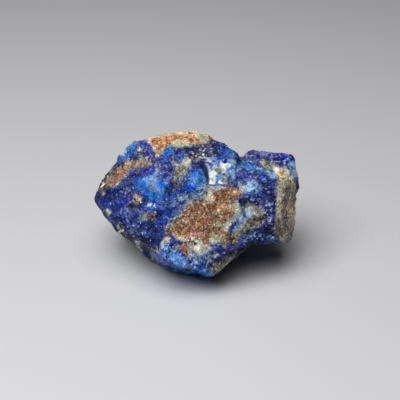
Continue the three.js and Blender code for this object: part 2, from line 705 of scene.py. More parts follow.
BEST_FACE = Stroke.rows("""
# grounds
ULTRA 133 100 -128,7,50 -62,-18,50 5,-93,40
NAVY 133 100 104,7,83
COBALT 100 100 -78,32,27 -53,7,23
# left tip
NAVY 66 100 -156,7,15 -141,-6,13
ULTRA 50 90 -159,-6,8 -151,-13,7
ULTRA 50 80 -141,14,5 -131,0,8
INK 50 90 22 -166,20,7 -163,7,4
INK 50 90 15 -148,19,8 -138,12,7
NAVY 50 90 30 -154,4,10 -141,-6,10
INK 33 70 34 -154,7,8 -141,-3,10 -128,-3,5
NAVY 50 100 15 -139,24,8 -139,10,8
SMOKE 33 90 45 -156,29,8 -149,38,8
PUTTY 25 80 45 -165,24,3
INK 25 95 -163,32,4 -159,40,4 -151,45,4
INK 20 80 30 -151,30,3 -156,24,4
WHITE 10 90 -157,14,1 -154,19,1
SLATE 50 70 -131,7,4
COBALT 50 50 38 -141,19,5 -133,15,5
VIVID 50 60 -125,5,5
VIOLET 50 90 -118,4,6 -116,-3,5
SAGE 23 95 22 -148,-10,3 -146,-15,3
WHITE 10 80 -148,-9,1
OLIVE 20 80 30 -148,-18,2
LILAC 33 60 68 -130,-18,5 -126,-23,5
# mottled violet between the band and the nests
VIOLET 83 90 -115,53,12 -90,53,13 -75,63,10
SLATE 50 70 60 -111,52,7 -108,42,7
LILAC 25 60 75 -110,43,5 -118,47,5
DUSK 83 90 -130,33,8 -116,29,12 -108,20,10
SLATE 41 60 68 -120,25,7 -126,19,7
LILAC 25 60 75 -120,25,5 -98,53,5
SAGE 20 90 38 -131,33,3
# upper left lobe
ULTRA 50 90 -95,97,15 -83,87,13
VIOLET 50 90 -85,95,8 -76,87,8
INK 33 60 38 -83,88,8 -76,80,7
COBALT 66 100 -106,90,10 -110,80,8
AZURE 50 70 -111,90,7 -105,97,5
SKY 41 60 -120,85,5 -111,93,4
TEAL 50 80 -121,85,6 -113,93,5 -103,100,3
AZURE 50 70 -128,73,7 -121,77,4
NAVY 33 90 -131,63,4
OLIVE 25 80 45 -95,90,6 -93,78,6
INK 20 60 38 -100,87,4 -88,87,4
CREAM 15 95 -95,91,3
PUTTY 20 80 30 -94,83,3 -92,77,3
DUSK 50 70 -81,73,8
LILAC 20 70 68 -81,74,5 -75,78,5
PUTTY 25 60 45 -90,78,5 -78,70,5
NAVY 50 70 -78,65,5 -67,70,4 -57,77,4
DUSK 66 70 -73,67,8 -62,60,7
LILAC 20 50 77 -65,60,7 -55,73,7
# brown and tan band
SMOKE 41 100 -154,32,8 -141,45,12 -128,57,8
TAN 41 90 -141,38,7 -131,45,7 -121,55,7
UMBER 41 80 -131,47,6 -123,55,5
RUST 25 70 -120,59,5 -128,52,4
OCHRE 25 70 38 -144,33,4 -139,37,4
TAN 41 100 -113,65,7 -101,67,6 -91,68,4
CREAM 25 70 45 -111,66,5 -100,68,4
OLIVE 41 90 45 -91,66,6 -80,67,5
SMOKE 25 80 56 -144,43,8 -131,55,8 -118,60,7
PEACH 13 100 -130,55,2
WHITE 12 90 -144,54,1
INK 20 90 15 -163,30,4 -158,38,4 -151,45,4
INK 17 95 11 -159,38,3 -153,45,3 -148,52,3
CREAM 12 100 -158,29,1 -154,35,2
WHITE 8 100 -157,30,1 -154,35,1
PUTTY 13 70 30 -149,47,2
INK 17 80 -152,30,2 -154,24,2
# powder bulge
COBALT 100 100 -91,30,15 -78,20,15 -62,14,12
VIVID 66 60 -86,24,8 -73,9,7 -57,5,7
AZURE 83 95 -83,37,15 -71,22,15
SKY 100 70 -78,38,12 -70,25,10
POWDER 83 50 -74,45,8 -70,53,6
HAZE 83 50 -73,43,10
SLATE 66 35 -75,33,10
SKY 25 60 77 -78,42,10 -68,24,10
AZURE 58 90 -78,15,10 -65,15,10
ULTRA 33 60 75 -90,27,7 -78,10,5 -62,17,5
HAZE 50 50 30 -67,53,5
NAVY 66 80 -48,27,7 -42,33,5
VIOLET 66 80 -52,53,7 -48,43,6
LILAC 25 50 75 -48,47,5 -52,38,5
NAVY 66 70 -57,4,5 -47,9,5
# right of the powder
COBALT 50 95 -48,89,8 -52,77,7
TEAL 50 70 -43,92,6
AZURE 50 50 -48,87,5
VIOLET 66 80 -48,72,7 -38,62,7
ULTRA 50 90 -32,85,8 -25,78,7
NAVY 33 80 -22,90,5
LILAC 25 60 75 -30,87,5 -35,78,7
ICE 13 80 30 -40,78,1
NAVY 50 90 -10,91,7
ULTRA 33 70 -10,92,4
SAGE 50 80 -35,68,7 -22,68,7 -12,70,5
HAZE 33 60 45 -33,71,5 -23,73,3
OLIVE 50 90 -30,55,7 -22,57,7
PUTTY 25 80 68 -28,57,7 -23,52,5
SMOKE 25 80 77 -28,53,7 -22,62,7
ROSE 20 50 60 -28,60,6
INK 20 50 68 -25,57,7
INK 50 80 45 -42,29,7 -30,29,7
LILAC 20 70 52 -37,26,4
SLATE 50 60 45 -32,38,5 -35,19,5
# cap
CREAM 25 100 -78,106,3 -68,113,7 -48,116,7 -22,121,7 1,118,7 15,111,5
RUST 27 95 -71,105,6 -62,98,7 -52,105,6
MAROON 17 60 68 -70,103,5 -60,95,5 -47,105,4
TAN 17 80 52 -67,105,7 -57,100,7 -63,93,5
ORANGE 25 80 52 -65,106,6 -57,97,6 -48,106,6
UMBER 17 70 79 -67,101,8 -57,95,7 -47,103,7
PEACH 23 100 -51,112,4
PEACH 20 90 45 -60,108,6 -53,98,4 -43,110,4 -35,116,3
CREAM 20 80 -42,108,4
OCHRE 25 90 -63,87,4 -65,82,3
SAGE 20 100 -80,105,2 -71,92,2 -67,80,2
SAGE 27 90 -43,101,3 -22,100,4 -10,99,3
CREAM 27 90 -42,105,4 -22,105,5 -12,103,3
SAGE 20 80 30 -35,99,3 -12,98,3
PUTTY 20 70 75 -35,98,5 -15,98,5
TAN 33 80 -38,111,5 -22,111,6 -5,110,6
ORANGE 27 85 -40,113,3 -27,114,3 -13,113,4 -4,107,4
CREAM 25 70 38 -32,116,3 -12,118,3
RUST 17 70 60 -38,113,3 -12,111,5 -6,103,4
TAN 20 70 68 -28,113,6 -12,115,6
PEACH 20 90 -35,117,2 -18,119,2 -2,116,3
CREAM 23 80 22 -27,106,4 -17,105,3
PEACH 17 80 60 -22,110,4 -3,111,4
SAGE 50 90 10,110,7 5,100,4
CREAM 20 70 52 13,106,5
# behind the white patch
ULTRA 58 90 33,93,8 48,85,10
NAVY 66 90 21,97,10 36,95,10 48,97,5
DUSK 50 95 5,87,12 20,88,10 -3,78,7
SLATE 25 70 52 5,85,10 16,87,10 0,75,7
SMOKE 25 70 45 10,90,10
SMOKE 20 80 81 5,87,10 18,80,10
PUTTY 20 80 45 -13,75,4 -2,75,4 11,73,4 20,73,3
ICE 17 70 81 5,85,10 18,90,8 -3,75,7
ROSE 20 60 17,73,3
INK 25 85 22 -2,90,7 11,92,8 25,94,8 31,87,5
INK 17 80 52 -12,78,5 5,78,8 16,82,7
ICE 12 80 81 1,83,10 16,87,10 -12,75,5
PEACH 12 60 81 -12,75,4 10,77,7
COBALT 66 80 45,82,8 41,92,4
TEAL 66 80 56,83,7 61,73,7
SLATE 33 60 45 60,70,5
NAVY 33 80 68,78,4 69,72,3
SKY 25 80 30 28,79,3
LILAC 20 60 77 16,97,7 26,92,7 41,98,5
# oval
INK 33 80 1,67,9 14,57,6 19,46,2
NAVY 41 100 2,62,12 11,53,8 15,43,4
ULTRA 41 100 1,50,12 1,40,12 -16,24,9
COBALT 50 95 4,48,11 -2,40,14 -13,29,9
AZURE 58 95 5,48,7 -2,41,10 -10,32,7
SKY 75 90 -1,43,7 -7,37,6
POWDER 50 30 -3,42,4
TEAL 33 40 5,45,4
VIVID 41 70 -12,25,7 -17,19,4
NAVY 33 80 -18,14,4 -13,17,2
INK 20 70 30 -7,68,2 3,69,3 12,62,2 19,50,2
DUSK 25 60 30 -6,62,4
SKY 20 45 79 3,52,7 -10,30,7
# white patch
HAZE 66 90 33,57,13 41,45,12
ICE 50 60 22 30,53,8 45,57,8
LILAC 25 70 38 26,73,5 33,71,4
SLATE 33 80 30 36,70,4 31,63,3
SKY 25 90 27,80,2 29,75,2
PUTTY 33 80 33,58,4 40,53,3
OLIVE 20 60 45 32,57,4 38,55,3
SLATE 25 70 30 38,49,4 36,58,3
SMOKE 17 60 75 33,62,5 40,52,5
ICE 20 90 17,66,2 21,60,2 22,55,2
WHITE 20 100 23,53,2 28,51,4 24,46,2
ICE 20 80 22 22,40,3 25,38,3
WHITE 20 95 21,35,2 26,35,2
AZURE 23 95 33,42,5
SKY 17 90 34,42,3
WHITE 17 100 38,37,3 41,35,2
WHITE 13 90 29,36,2 30,47,1
ICE 23 100 40,68,2 45,64,5 51,65,3
WHITE 20 90 41,67,2 46,63,3 50,65,2
WHITE 23 95 46,58,3 44,53,2
ICE 17 80 51,62,1 56,67,1
HAZE 33 80 47,48,5 46,38,5
ROSE 25 60 38 47,47,5 46,38,4
ICE 20 70 79 48,50,5 46,38,4
SMOKE 17 80 77 44,49,4 49,41,5
WHITE 12 95 50,47,2 45,37,1
HAZE 50 90 57,53,6 61,47,5
SKY 33 60 22 63,54,4
SLATE 25 70 75 55,47,7 61,60,7
TEAL 40 80 59,37,5
INK 25 50 38 57,36,3
NAVY 20 95 23,30,3
SKY 20 85 29,30,2 39,30,2
# between the oval and the rust
SLATE 66 90 5,19,8 -8,10,7
NAVY 41 90 5,24,5 1,17,3
NAVY 50 90 -23,2,6 -15,9,4
HAZE 25 90 30 -28,10,5 -18,17,4
PUTTY 30 80 45 -28,10,5 -38,0,4
HAZE 30 90 38 -40,0,4
ICE 25 60 30 11,33,3 5,25,2 -3,20,2
TEAL 66 70 0,14,5
SLATE 41 80 5,14,6
SAGE 33 80 14,9,4
HAZE 25 70 60 -15,10,7 11,17,8
LILAC 20 60 60 -50,-1,4 -57,-6,3
# rust patch
SLATE 66 80 -48,-36,5 -35,-20,7 -18,-1,7
SAGE 50 75 -48,-49,3 -42,-33,4 -30,-21,5 -18,-6,7 -5,3,6
HAZE 33 60 30 -30,-19,3 -18,-2,4 -10,5,4
CREAM 41 90 20,20,5 23,10,7 28,0,6
SAGE 41 80 11,9,6 18,0,4
TAN 50 80 30,-3,7 38,0,5
SAGE 66 80 -18,-53,7 15,-59,12 41,-43,13 56,-16,12 68,2,6
CREAM 33 50 52 -15,-54,7 -2,-53,7 48,-36,7 60,-16,7
UMBER 50 100 -45,-44,5 -28,-36,9 -12,-21,13 8,-8,11 23,-5,7
UMBER 50 100 -23,-44,8 -3,-34,15 18,-18,13 15,-49,8
MAROON 33 85 15 -13,-8,7 1,1,7 13,-5,8
SMOKE 27 70 30 -2,2,7 5,-3,5
MAROON 33 85 30 -27,-33,7 -35,-39,5
MAROON 41 80 22 13,-36,7 15,-53,6
MAROON 33 85 45 -5,-16,10 11,-10,10
RUST 58 90 3,-18,7 8,-36,6
ORANGE 41 80 15 1,-15,4 3,-28,4 6,-43,3
RUST 25 90 15 0,-10,5 3,-25,6 6,-39,5
OCHRE 20 80 45 0,-10,4 3,-23,4 5,-36,4
MAROON 20 90 75 -27,-36,8 -12,-21,13 10,-10,12 15,-36,10
SMOKE 20 80 79 -35,-36,8 -12,-15,12 11,-1,8
SMOKE 20 80 81 -12,-36,10 15,-26,10 18,-56,7
ROSE 20 80 60 -18,-16,7 -17,-30,8 -10,-39,7
ROSE 17 70 83 -2,-39,10 5,-26,13
OLIVE 41 70 30 -40,-36,4 -33,-30,4
TAN 20 80 85 -32,-38,8 -3,-18,12 10,-10,8 11,-36,8
PEACH 13 95 91 -25,-30,10 -8,-23,13 13,-10,10
INK 17 60 85 -32,-36,8 -12,-16,13 11,-3,10 15,-36,10
OLIVE 33 70 30 -45,-46,4 -38,-34,4
UMBER 33 100 36,12,7 46,17,8 60,19,8 66,17,6
UMBER 33 95 36,4,6 51,7,7
MAROON 30 95 30 35,2,5 33,19,5 48,24,5
SMOKE 20 80 68 41,10,8 56,14,8
TAN 25 80 60 53,14,7 65,15,7
RUST 25 85 52 48,10,7 58,19,7 66,17,5
EMBER 15 80 30 69,21,2
PEACH 13 95 61,23,1 68,16,1 53,17,1
PEACH 17 80 91 38,14,8 55,14,10 65,20,7
OCHRE 41 95 36,-3,5 43,-5,7 53,0,6
TAN 25 80 38 41,-5,7 53,2,6
PEACH 20 70 60 41,-6,7
MAROON 25 85 43,-15,4 53,-16,4 61,-16,3
RUST 25 70 38 48,-15,5 60,-16,4
OLIVE 50 80 28,-25,6 38,-21,5
SAGE 33 90 22 31,-33,7 38,-28,5
PUTTY 25 80 45 35,-31,7
SAGE 50 80 65,0,5 68,-11,5 60,-3,3
PUTTY 25 70 22 66,-13,4 63,0,3
CREAM 20 70 52 68,-15,3 65,2,3
SMOKE 20 70 77 61,-1,7 55,-30,7
TAN 20 70 60 55,-8,5 65,-5,5
UMBER 33 95 28,-41,5 36,-44,5 45,-48,3
MAROON 20 80 38 33,-43,6
SMOKE 20 80 45 36,-44,5
SAGE 50 90 41,-56,6 28,-56,7
OLIVE 33 70 30 31,-53,6 41,-59,5
UMBER 41 80 13,-58,6 16,-66,4
MAROON 25 80 38 13,-54,7 15,-64,4
UMBER 41 85 50,-56,6 60,-61,5 41,-64,4
SMOKE 25 80 45 48,-58,7 61,-61,5
TAN 33 90 -35,-48,6 -23,-51,5
CREAM 20 80 52 -28,-53,5 -18,-54,3
ROSE 41 90 -13,-51,6 0,-54,7
UMBER 20 70 60 -32,-49,5 -12,-53,7 -2,-53,5
CREAM 17 80 68 -12,-53,5 -2,-56,5
WHITE 13 80 30 -7,-58,3 0,-63,2
SAGE 58 90 3,-73,9 11,-74,8
CREAM 41 80 2,-72,6
WHITE 17 90 2,-72,2
HAZE 33 60 30 11,-79,6
MAROON 36 95 -32,-71,4 -22,-74,7 -17,-69,6 -18,-84,4
RUST 25 80 38 -22,-71,5 -17,-79,4
EMBER 25 85 -22,-75,3
SMOKE 17 80 60 -27,-76,5 -15,-73,5
INK 17 95 -6,-63,2 -3,-65,2
NAVY 33 95 -42,-65,5 -30,-65,4
ULTRA 33 70 -38,-64,3
CREAM 27 100 -60,-64,3 -55,-60,4 -50,-56,3
WHITE 15 95 -56,-62,2
PEACH 20 80 -47,-54,2
TAN 17 70 -52,-41,1 -47,-30,1 -42,-25,1
# bottom
COBALT 66 90 -53,-76,10 -35,-93,13 -15,-106,10 11,-102,13
SLATE 50 80 -71,-79,8 -62,-89,7
PUTTY 25 70 45 -71,-74,5
CREAM 15 70 30 -80,-88,2 -73,-95,2
AZURE 50 90 -52,-76,7 -40,-83,7
ICE 30 70 52 -55,-71,5 -48,-79,4
AZURE 58 100 -42,-84,8 -32,-93,10 -20,-101,8
SKY 50 90 -42,-78,5 -35,-88,7 -27,-96,7
SKY 25 60 68 -42,-86,8 -23,-99,8
VIVID 41 60 -48,-94,4 -42,-101,4 -17,-106,4
ULTRA 50 80 13,-89,7 25,-96,5
SLATE 33 80 45 0,-96,8 10,-109,7 0,-106,7
HAZE 25 50 68 -7,-91,5 13,-99,7
WHITE 10 90 -18,-90,1
WHITE 10 80 -9,-97,1
AZURE 41 80 -35,-104,5 -15,-109,6 5,-111,6 18,-114,5
SKY 25 60 60 -32,-99,5 -12,-106,5 10,-106,7
NAVY 66 90 31,-79,10 51,-76,10 68,-76,8
VIOLET 41 80 45,-81,6 55,-73,6
VIVID 25 50 30 55,-73,4
LILAC 20 60 79 35,-78,7 58,-73,7
SAGE 25 90 45 31,-86,5
INK 50 70 30 41,-76,8 61,-81,8
SMOKE 33 80 18,-94,4 30,-98,4 43,-93,4
OLIVE 50 90 28,-109,7 41,-104,6 55,-94,4
INK 33 60 45 28,-106,8 45,-99,7
SAGE 20 70 68 32,-104,5 40,-101,4 20,-111,5
SLATE 33 70 30 20,-116,5
PUTTY 25 80 30 46,-66,4
CREAM 12 60 66,-78,1 60,-89,1
INK 58 90 76,-74,7 68,-88,5
# lower left
NAVY 83 95 -125,-36,8 -106,-56,10 -81,-64,13 -65,-71,7
ULTRA 50 80 -115,-23,7 -98,-33,8
COBALT 50 70 -118,-25,5 -108,-30,6
INK 50 90 -133,-25,4 -128,-31,6 -120,-48,5
INK 50 90 -115,-56,7 -95,-59,5 -85,-64,10 -78,-73,7
INK 41 70 38 -110,-39,7 -98,-53,7
SLATE 41 70 45 -105,-38,7 -100,-49,7 -93,-56,5
LILAC 17 50 83 -125,-23,8 -105,-43,8
ULTRA 66 95 -67,-41,12 -73,-53,10 -60,-30,8
COBALT 50 60 22 -65,-33,7 -71,-46,5
NAVY 41 90 -65,-41,10 -67,-56,10
SLATE 33 70 45 -83,-44,7 -81,-36,5
ULTRA 50 80 -65,-28,7 -57,-16,7
CREAM 13 100 -102,-61,2 -98,-68,3 -93,-77,2
WHITE 10 90 -100,-64,1 -96,-71,1
ROSE 13 60 30 -100,-68,2
PUTTY 25 80 38 -70,-73,5 -65,-76,3
LILAC 17 70 52 -117,-49,3
# ridge
LILAC 27 70 68 -126,-11,4 -111,-7,5 -93,-5,4
HAZE 20 80 52 -121,-11,3 -110,-7,4 -95,-5,4
SLATE 27 60 30 -85,-8,4 -65,-3,4 -45,2,4
SLATE 33 60 52 -78,-10,5 -53,-3,5
ICE 20 90 45 -83,-3,3 -78,-2,4 -71,-3,3
# nests
SAGE 27 90 22 -91,-21,5 -85,-17,4
HAZE 25 60 38 -93,-25,5
INK 30 95 -108,-1,6 -98,-1,6 -90,5,4
NEST 20 90 38 -106,2,4 -98,4,5
TAN 15 90 30 -101,13,2 -97,9,3
CREAM 10 100 -99,10,1 -94,7,2
PEACH 10 90 -96,13,1 -102,11,1
ICE 8 80 -110,3,1 -90,11,1
INK 23 90 -76,-28,4 -69,-19,5 -65,-11,3
NEST 17 90 38 -75,-25,4 -68,-16,3
RUST 15 90 22 -74,-24,3
PEACH 10 95 -73,-25,1 -77,-21,1
CREAM 10 90 -81,-19,1 -68,-14,1
INK 20 90 -131,-41,3 -123,-46,4
WHITE 10 100 -132,-35,2 -130,-41,2
ICE 10 90 -129,-48,1 -126,-51,1
CREAM 10 100 -129,-46,2 -122,-42,2
WHITE 8 100 -127,-45,2 -124,-43,2
LILAC 10 80 -125,-39,1 -116,-49,1
# right of the rust
ULTRA 50 90 78,2,7 73,7,3 81,7,7
HAZE 58 95 73,-6,6 76,-16,8 69,-26,7
CREAM 33 60 38 73,-15,5
SLATE 41 80 38 65,-31,6 76,-20,5
ULTRA 36 95 56,-43,3 63,-33,3
NAVY 25 70 56,-44,3
SAGE 41 100 65,-52,8
SMOKE 20 80 75 66,-51,7
PEACH 17 80 30 63,-54,3
WHITE 12 100 64,-56,2
# side lobe
VIOLET 50 95 71,75,7 88,82,8 114,80,8 144,77,10
ULTRA 41 80 60 81,80,7 101,77,7 124,75,5
VIVID 50 70 141,78,7 151,73,6
COBALT 33 80 152,72,4
LILAC 20 70 60 109,82,5 114,78,5
LILAC 20 70 38 128,73,4
LILAC 17 60 68 81,78,7 98,83,5
INK 25 60 34 91,77,5 108,78,4 121,75,4 139,72,5
LILAC 17 70 75 88,83,5 108,83,5 128,80,5
COBALT 33 80 151,70,4 157,67,4
SLATE 36 95 156,67,6 161,53,6 164,40,4
HAZE 33 80 22 157,63,4 161,50,4
INK 20 90 143,69,2 150,59,2 155,53,2
INK 20 80 157,53,1 164,45,1
INK 33 90 168,33,4
SAGE 33 95 108,70,4 116,65,6 124,63,5
OLIVE 25 80 45 113,67,5 123,65,5
SMOKE 17 90 38 120,66,3 113,68,2
AZURE 58 70 81,69,4 91,65,5
AZURE 50 90 84,60,6 96,58,7 108,54,4
SKY 50 80 83,62,3 93,59,5 101,56,4
TEAL 33 60 109,50,3 76,65,4
SKY 58 60 63,58,7 71,62,5
HAZE 50 50 60,63,5 66,52,4
VIOLET 50 95 73,46,8 86,45,7
LILAC 25 50 60 73,47,7 84,45,6
NAVY 33 60 38 81,50,4 71,38,4
DUSK 41 80 22 96,45,6
LILAC 20 60 79 94,45,6
HAZE 66 95 88,35,8 96,27,11 83,24,7
POWDER 41 50 22 93,33,7 101,25,6
HAZE 41 80 30 91,30,7 81,24,6
COBALT 27 70 52 89,20,7 103,24,7 98,35,5
LILAC 20 40 60 81,33,5
SLATE 50 60 38 81,14,5 98,14,5
NAVY 50 100 78,5,7 88,10,7 101,2,7
ULTRA 50 80 30 83,7,5 98,9,5
INK 33 60 30 78,4,5 91,2,5 108,7,5
LILAC 17 80 52 96,7,3 103,-1,5
ICE 13 70 79 84,12,5 99,9,5
HAZE 25 60 45 108,9,3 111,-1,3
SAGE 66 90 86,-8,8 99,-10,9 108,-13,6
PUTTY 33 60 38 86,-8,7 99,-10,7
HAZE 41 70 22 81,-13,6 94,-15,5
ROSE 20 60 77 93,-8,7
OLIVE 66 95 73,-44,5 84,-36,9 99,-28,9 113,-21,6
TEAL 41 50 22 78,-26,4 83,-33,4
SMOKE 25 80 52 83,-38,7 96,-31,8 113,-23,7
INK 25 70 45 108,-28,5 116,-21,5
PUTTY 17 80 77 88,-34,7 101,-28,7 113,-21,5
CREAM 17 70 81 86,-36,5 109,-25,5
INK 17 60 75 83,-39,7 101,-30,7 114,-23,5
SLATE 50 80 69,-33,5 79,-23,4
ULTRA 58 90 114,43,7 121,24,6
VIVID 50 70 22 111,45,5 119,32,5
SKY 33 80 22 121,47,3
HAZE 41 70 126,29,4
NAVY 58 100 116,17,7 121,-10,8 118,-39,8
INK 41 70 128,12,3 129,0,3
INK 50 70 114,-13,6 116,-39,6
ULTRA 41 60 45 121,5,4 116,-30,3
LILAC 17 70 79 121,-1,5 124,-16,5 119,-30,5
LILAC 17 60 85 123,0,5 121,-23,5
# face at the right end
PUTTY 41 100 137,32,7 146,-1,14 144,-39,15 147,-56,8
PUTTY 41 100 157,32,7 159,-1,7 157,-34,7
OLIVE 58 80 146,35,8 156,29,6
HAZE 41 50 22 136,24,4 139,14,4
SMOKE 33 95 149,24,4 147,10,5 144,-3,4
SMOKE 33 95 142,-15,3 146,-25,5 147,-39,5
INK 25 60 30 148,14,3 144,-1,3 146,-26,3
UMBER 33 50 38 151,7,3 154,-6,4
OLIVE 20 60 75 139,24,8 147,4,8 144,-13,8
CREAM 33 90 137,-3,3 136,-18,5 139,-31,4
WHITE 20 60 30 137,-8,2 138,-20,2
CREAM 25 90 22 155,14,2 153,0,3 154,-16,3 152,-33,3
CREAM 20 70 77 137,7,7 137,-18,7
ROSE 33 80 157,7,3 158,-10,4 156,-26,3
PEACH 20 70 75 154,4,5 157,-18,5
SMOKE 20 70 81 142,14,8 149,-13,8 142,-36,8
SMOKE 20 80 30 161,14,1 162,-6,1
WHITE 17 70 87 139,-1,7 137,-23,7 154,-18,5
SMOKE 33 70 38 152,-39,3 147,-16,3
OLIVE 50 80 137,-44,7 147,-49,7
SAGE 25 60 38 133,-46,3 144,-53,5
CREAM 17 60 77 144,-56,7 131,-39,5
CREAM 13 80 163,2,1 163,-13,1 162,-26,1
CREAM 41 100 131,59,5 136,53,8 144,43,6
WHITE 25 90 131,57,4
PEACH 41 70 140,51,5
ORANGE 25 50 38 141,50,4
TAN 17 60 52 142,48,6
SAGE 50 80 151,38,4 151,52,3
SMOKE 17 70 79 149,55,5 139,43,5
# along the foot of the lobe
TEAL 50 95 81,-56,6 101,-56,6 124,-58,6
NAVY 41 90 71,-68,5 88,-58,4 108,-53,3
SLATE 33 70 30 103,-59,4 118,-58,4
HAZE 33 60 126,-58,4 114,-59,3
SAGE 33 60 139,-59,5
INK 50 95 88,-68,6 111,-66,4 137,-66,4
NAVY 33 70 38 88,-59,5 108,-58,5
# small spots, left
NAVY 66 50 -151,4,13 -141,-6,10
NAVY 83 35 -73,-43,13
INK 66 35 -95,-56,10 -115,-46,8
INK 33 40 22 -154,10,8 -141,14,8
NAVY 33 95 -133,-28,4 -139,-36,5
NAVY 33 90 -158,-15,6
ULTRA 41 60 -164,0,5
CHALK 27 70 -144,-11,3
HAZE 30 70 8 -91,-21,4
CHALK 23 90 -98,-67,3
INK 23 70 -154,45,3
LILAC 33 70 15 -91,-11,4 -110,-16,4 -120,-13,4
CREAM 8 90 -98,10,1
DUSK 30 95 -96,19,4
DUSK 25 70 -111,9,3
NAVY 33 70 -86,9,5
VIOLET 41 75 -83,53,6 -75,57,4
ICE 33 95 -124,87,6
LILAC 30 90 -108,103,3 -100,105,5
POWDER 27 50 -101,105,3
HAZE 30 70 -101,84,4
SLATE 40 70 -86,85,5
CREAM 23 100 -75,111,4 -83,108,3
PEACH 27 60 -68,95,4
INK 27 80 -83,-68,5
INK 27 80 -81,-89,4
AZURE 41 100 -62,24,6 -50,37,6
SKY 41 95 -60,23,6
POWDER 66 50 -75,38,8
POWDER 41 60 -68,24,5
VIOLET 41 95 -78,56,6 -90,48,4
ULTRA 41 50 -75,55,5
SLATE 33 70 -33,-15,3
NAVY 33 50 -32,-15,4
NAVY 25 70 -18,18,3
VIOLET 41 50 15 -65,-3,3
# small spots, middle
SLATE 41 90 -30,74,6
ULTRA 33 40 -32,77,4
POWDER 27 70 -10,61,4
PUTTY 25 50 15 -2,73,4
HAZE 33 60 11 -25,45,4 -25,38,4
SLATE 33 80 -48,63,4
CREAM 27 90 15,106,5
PEACH 23 80 -75,112,3
PEACH 23 80 -25,120,3
CREAM 17 50 -42,116,2 -12,120,2
CHALK 20 60 -2,97,3
DUSK 33 80 11 20,92,6
ICE 27 90 20,73,4
HAZE 33 100 56,69,6
ICE 30 90 53,64,4
ICE 27 60 28,60,3
CHALK 30 90 40,27,4 30,25,5 16,29,2
HAZE 30 90 16,24,4
SKY 36 100 5,30,5
SKY 33 100 14,43,4
# small spots, rust
CHALK 36 100 74,25,7
CHALK 33 70 73,12,4
ROSE 30 80 55,29,4 46,29,2
UMBER 33 90 11 43,-26,5 23,-26,5
UMBER 33 100 18,-26,5
MAROON 33 70 18,-28,4
OLIVE 25 60 30 41,-25,5
TAN 30 100 38,-11,5
UMBER 30 90 -20,-48,4
UMBER 30 90 36,-49,4
MAROON 33 80 11 -2,-10,5
CREAM 27 85 -33,-56,4 -20,-59,3
CREAM 30 85 -10,-67,4 -5,-74,4
CHALK 30 85 -13,-86,4 0,-84,3 10,-83,4 23,-74,4
HAZE 27 60 8,-84,4
SMOKE 33 95 63,-63,5
INK 33 70 63,-69,4
ICE 33 85 -57,-68,5
CHALK 30 90 -49,-63,4
PEACH 12 60 93 1,-1,8 -15,-16,8 -12,-39,8 13,-30,8
# small spots, right
ICE 36 70 76,-25,7
HAZE 33 90 65,-41,4 74,-36,4
CHALK 27 50 65,-43,4
SLATE 33 100 96,70,5
LILAC 27 70 111,82,5
VIOLET 30 90 136,84,5
NAVY 33 40 136,83,4
ICE 13 60 85 81,78,8 111,78,8 144,75,8
INK 15 65 81 81,75,8 111,73,8 137,73,8
ICE 13 60 85 81,57,10 108,52,8
INK 15 60 83 81,52,10 108,47,8
HAZE 33 95 116,53,4 128,47,5
POWDER 33 90 156,67,4 164,67,4 167,50,4 160,48,4
ICE 33 40 163,65,3
CHALK 30 80 157,43,4
CHALK 33 95 146,61,4 151,53,4
NAVY 41 95 114,34,6
INK 40 80 114,35,5
INK 33 90 116,-43,5
NAVY 50 40 118,24,8 121,-1,8 118,-39,8
ULTRA 33 70 88,15,4
NAVY 33 85 101,2,5
HAZE 33 80 111,-13,5
CREAM 36 100 155,-8,6
CHALK 25 70 137,24,4 139,9,3
INK 33 60 137,-51,5 136,-45,4
SMOKE 33 90 137,-51,5 134,-36,4
SMOKE 30 95 151,-61,5
ICE 12 70 89 118,40,8 123,-1,8 118,-39,7
INK 15 70 79 119,33,8 119,-1,8 118,-36,8
INK 15 60 83 88,-36,8 111,-25,8
NAVY 50 50 81,-58,7 128,-59,6
INK 15 60 81 84,-56,7 124,-56,7
HAZE 13 60 79 84,-56,7 124,-56,7
# small spots, bottom
SKY 41 100 -17,-111,7
HAZE 33 60 20,-88,5
SKY 41 50 -30,-99,3
INK 15 60 85 -42,-88,10 -15,-101,10
ICE 13 60 85 -45,-84,10 -12,-101,10
INK 15 70 81 1,-96,10 23,-102,10
ICE 13 65 83 0,-94,10 25,-102,10
# last touches all over
ICE 36 60 79,-21,6
HAZE 36 80 83,-14,5
HAZE 33 80 71,33,5
HAZE 40 60 63,70,5
ICE 40 35 5,30,4
POWDER 41 90 -13,-108,7
SKY 50 40 -42,-88,8 -18,-99,8
UMBER 43 80 -15,-43,7 -5,-43,7
UMBER 40 60 -8,-18,6
UMBER 33 70 35,-48,4
LILAC 30 80 152,83,4
OCHRE 33 60 38,-10,5
PEACH 30 40 38,-10,4
PEACH 33 50 28,9,5
DUSK 33 100 -98,19,5
DUSK 40 80 -95,58,5
SLATE 36 80 31,-76,5
SLATE 40 80 -111,80,5
SLATE 40 80 -28,73,5
INK 40 100 116,-44,6
NAVY 33 80 114,35,5
CHALK 27 100 -99,-64,3 -95,-73,3
SAGE 27 80 -85,-24,4
PEACH 30 50 -7,107,4
CHALK 33 60 3,76,4
CHALK 30 60 -23,52,4
HAZE 33 50 -15,48,4
SKY 36 100 12,37,5
PEACH 27 50 -118,66,3
NAVY 33 80 -140,-34,4
POWDER 33 60 -110,101,4
HAZE 33 50 13,-90,4
CHALK 33 80 65,-44,4
CHALK 33 80 74,-36,4
CHALK 33 60 -35,-73,4
CHALK 33 60 -23,90,4
CHALK 33 80 167,48,3
CHALK 33 90 -12,-81,4
HAZE 33 80 5,-83,4
CREAM 33 90 155,-8,5
PEACH 33 40 155,-6,5
LILAC 41 50 -50,38,5
ICE 27 40 -101,105,3
ICE 33 40 28,53,7
ICE 33 40 45,60,7
PUTTY 50 40 88,-34,8 108,-23,8
UMBER 36 90 17,-26,5
RUST 33 50 17,-26,4
OCHRE 33 80 38,-10,5
PEACH 30 50 38,-9,4
LILAC 30 80 151,85,4
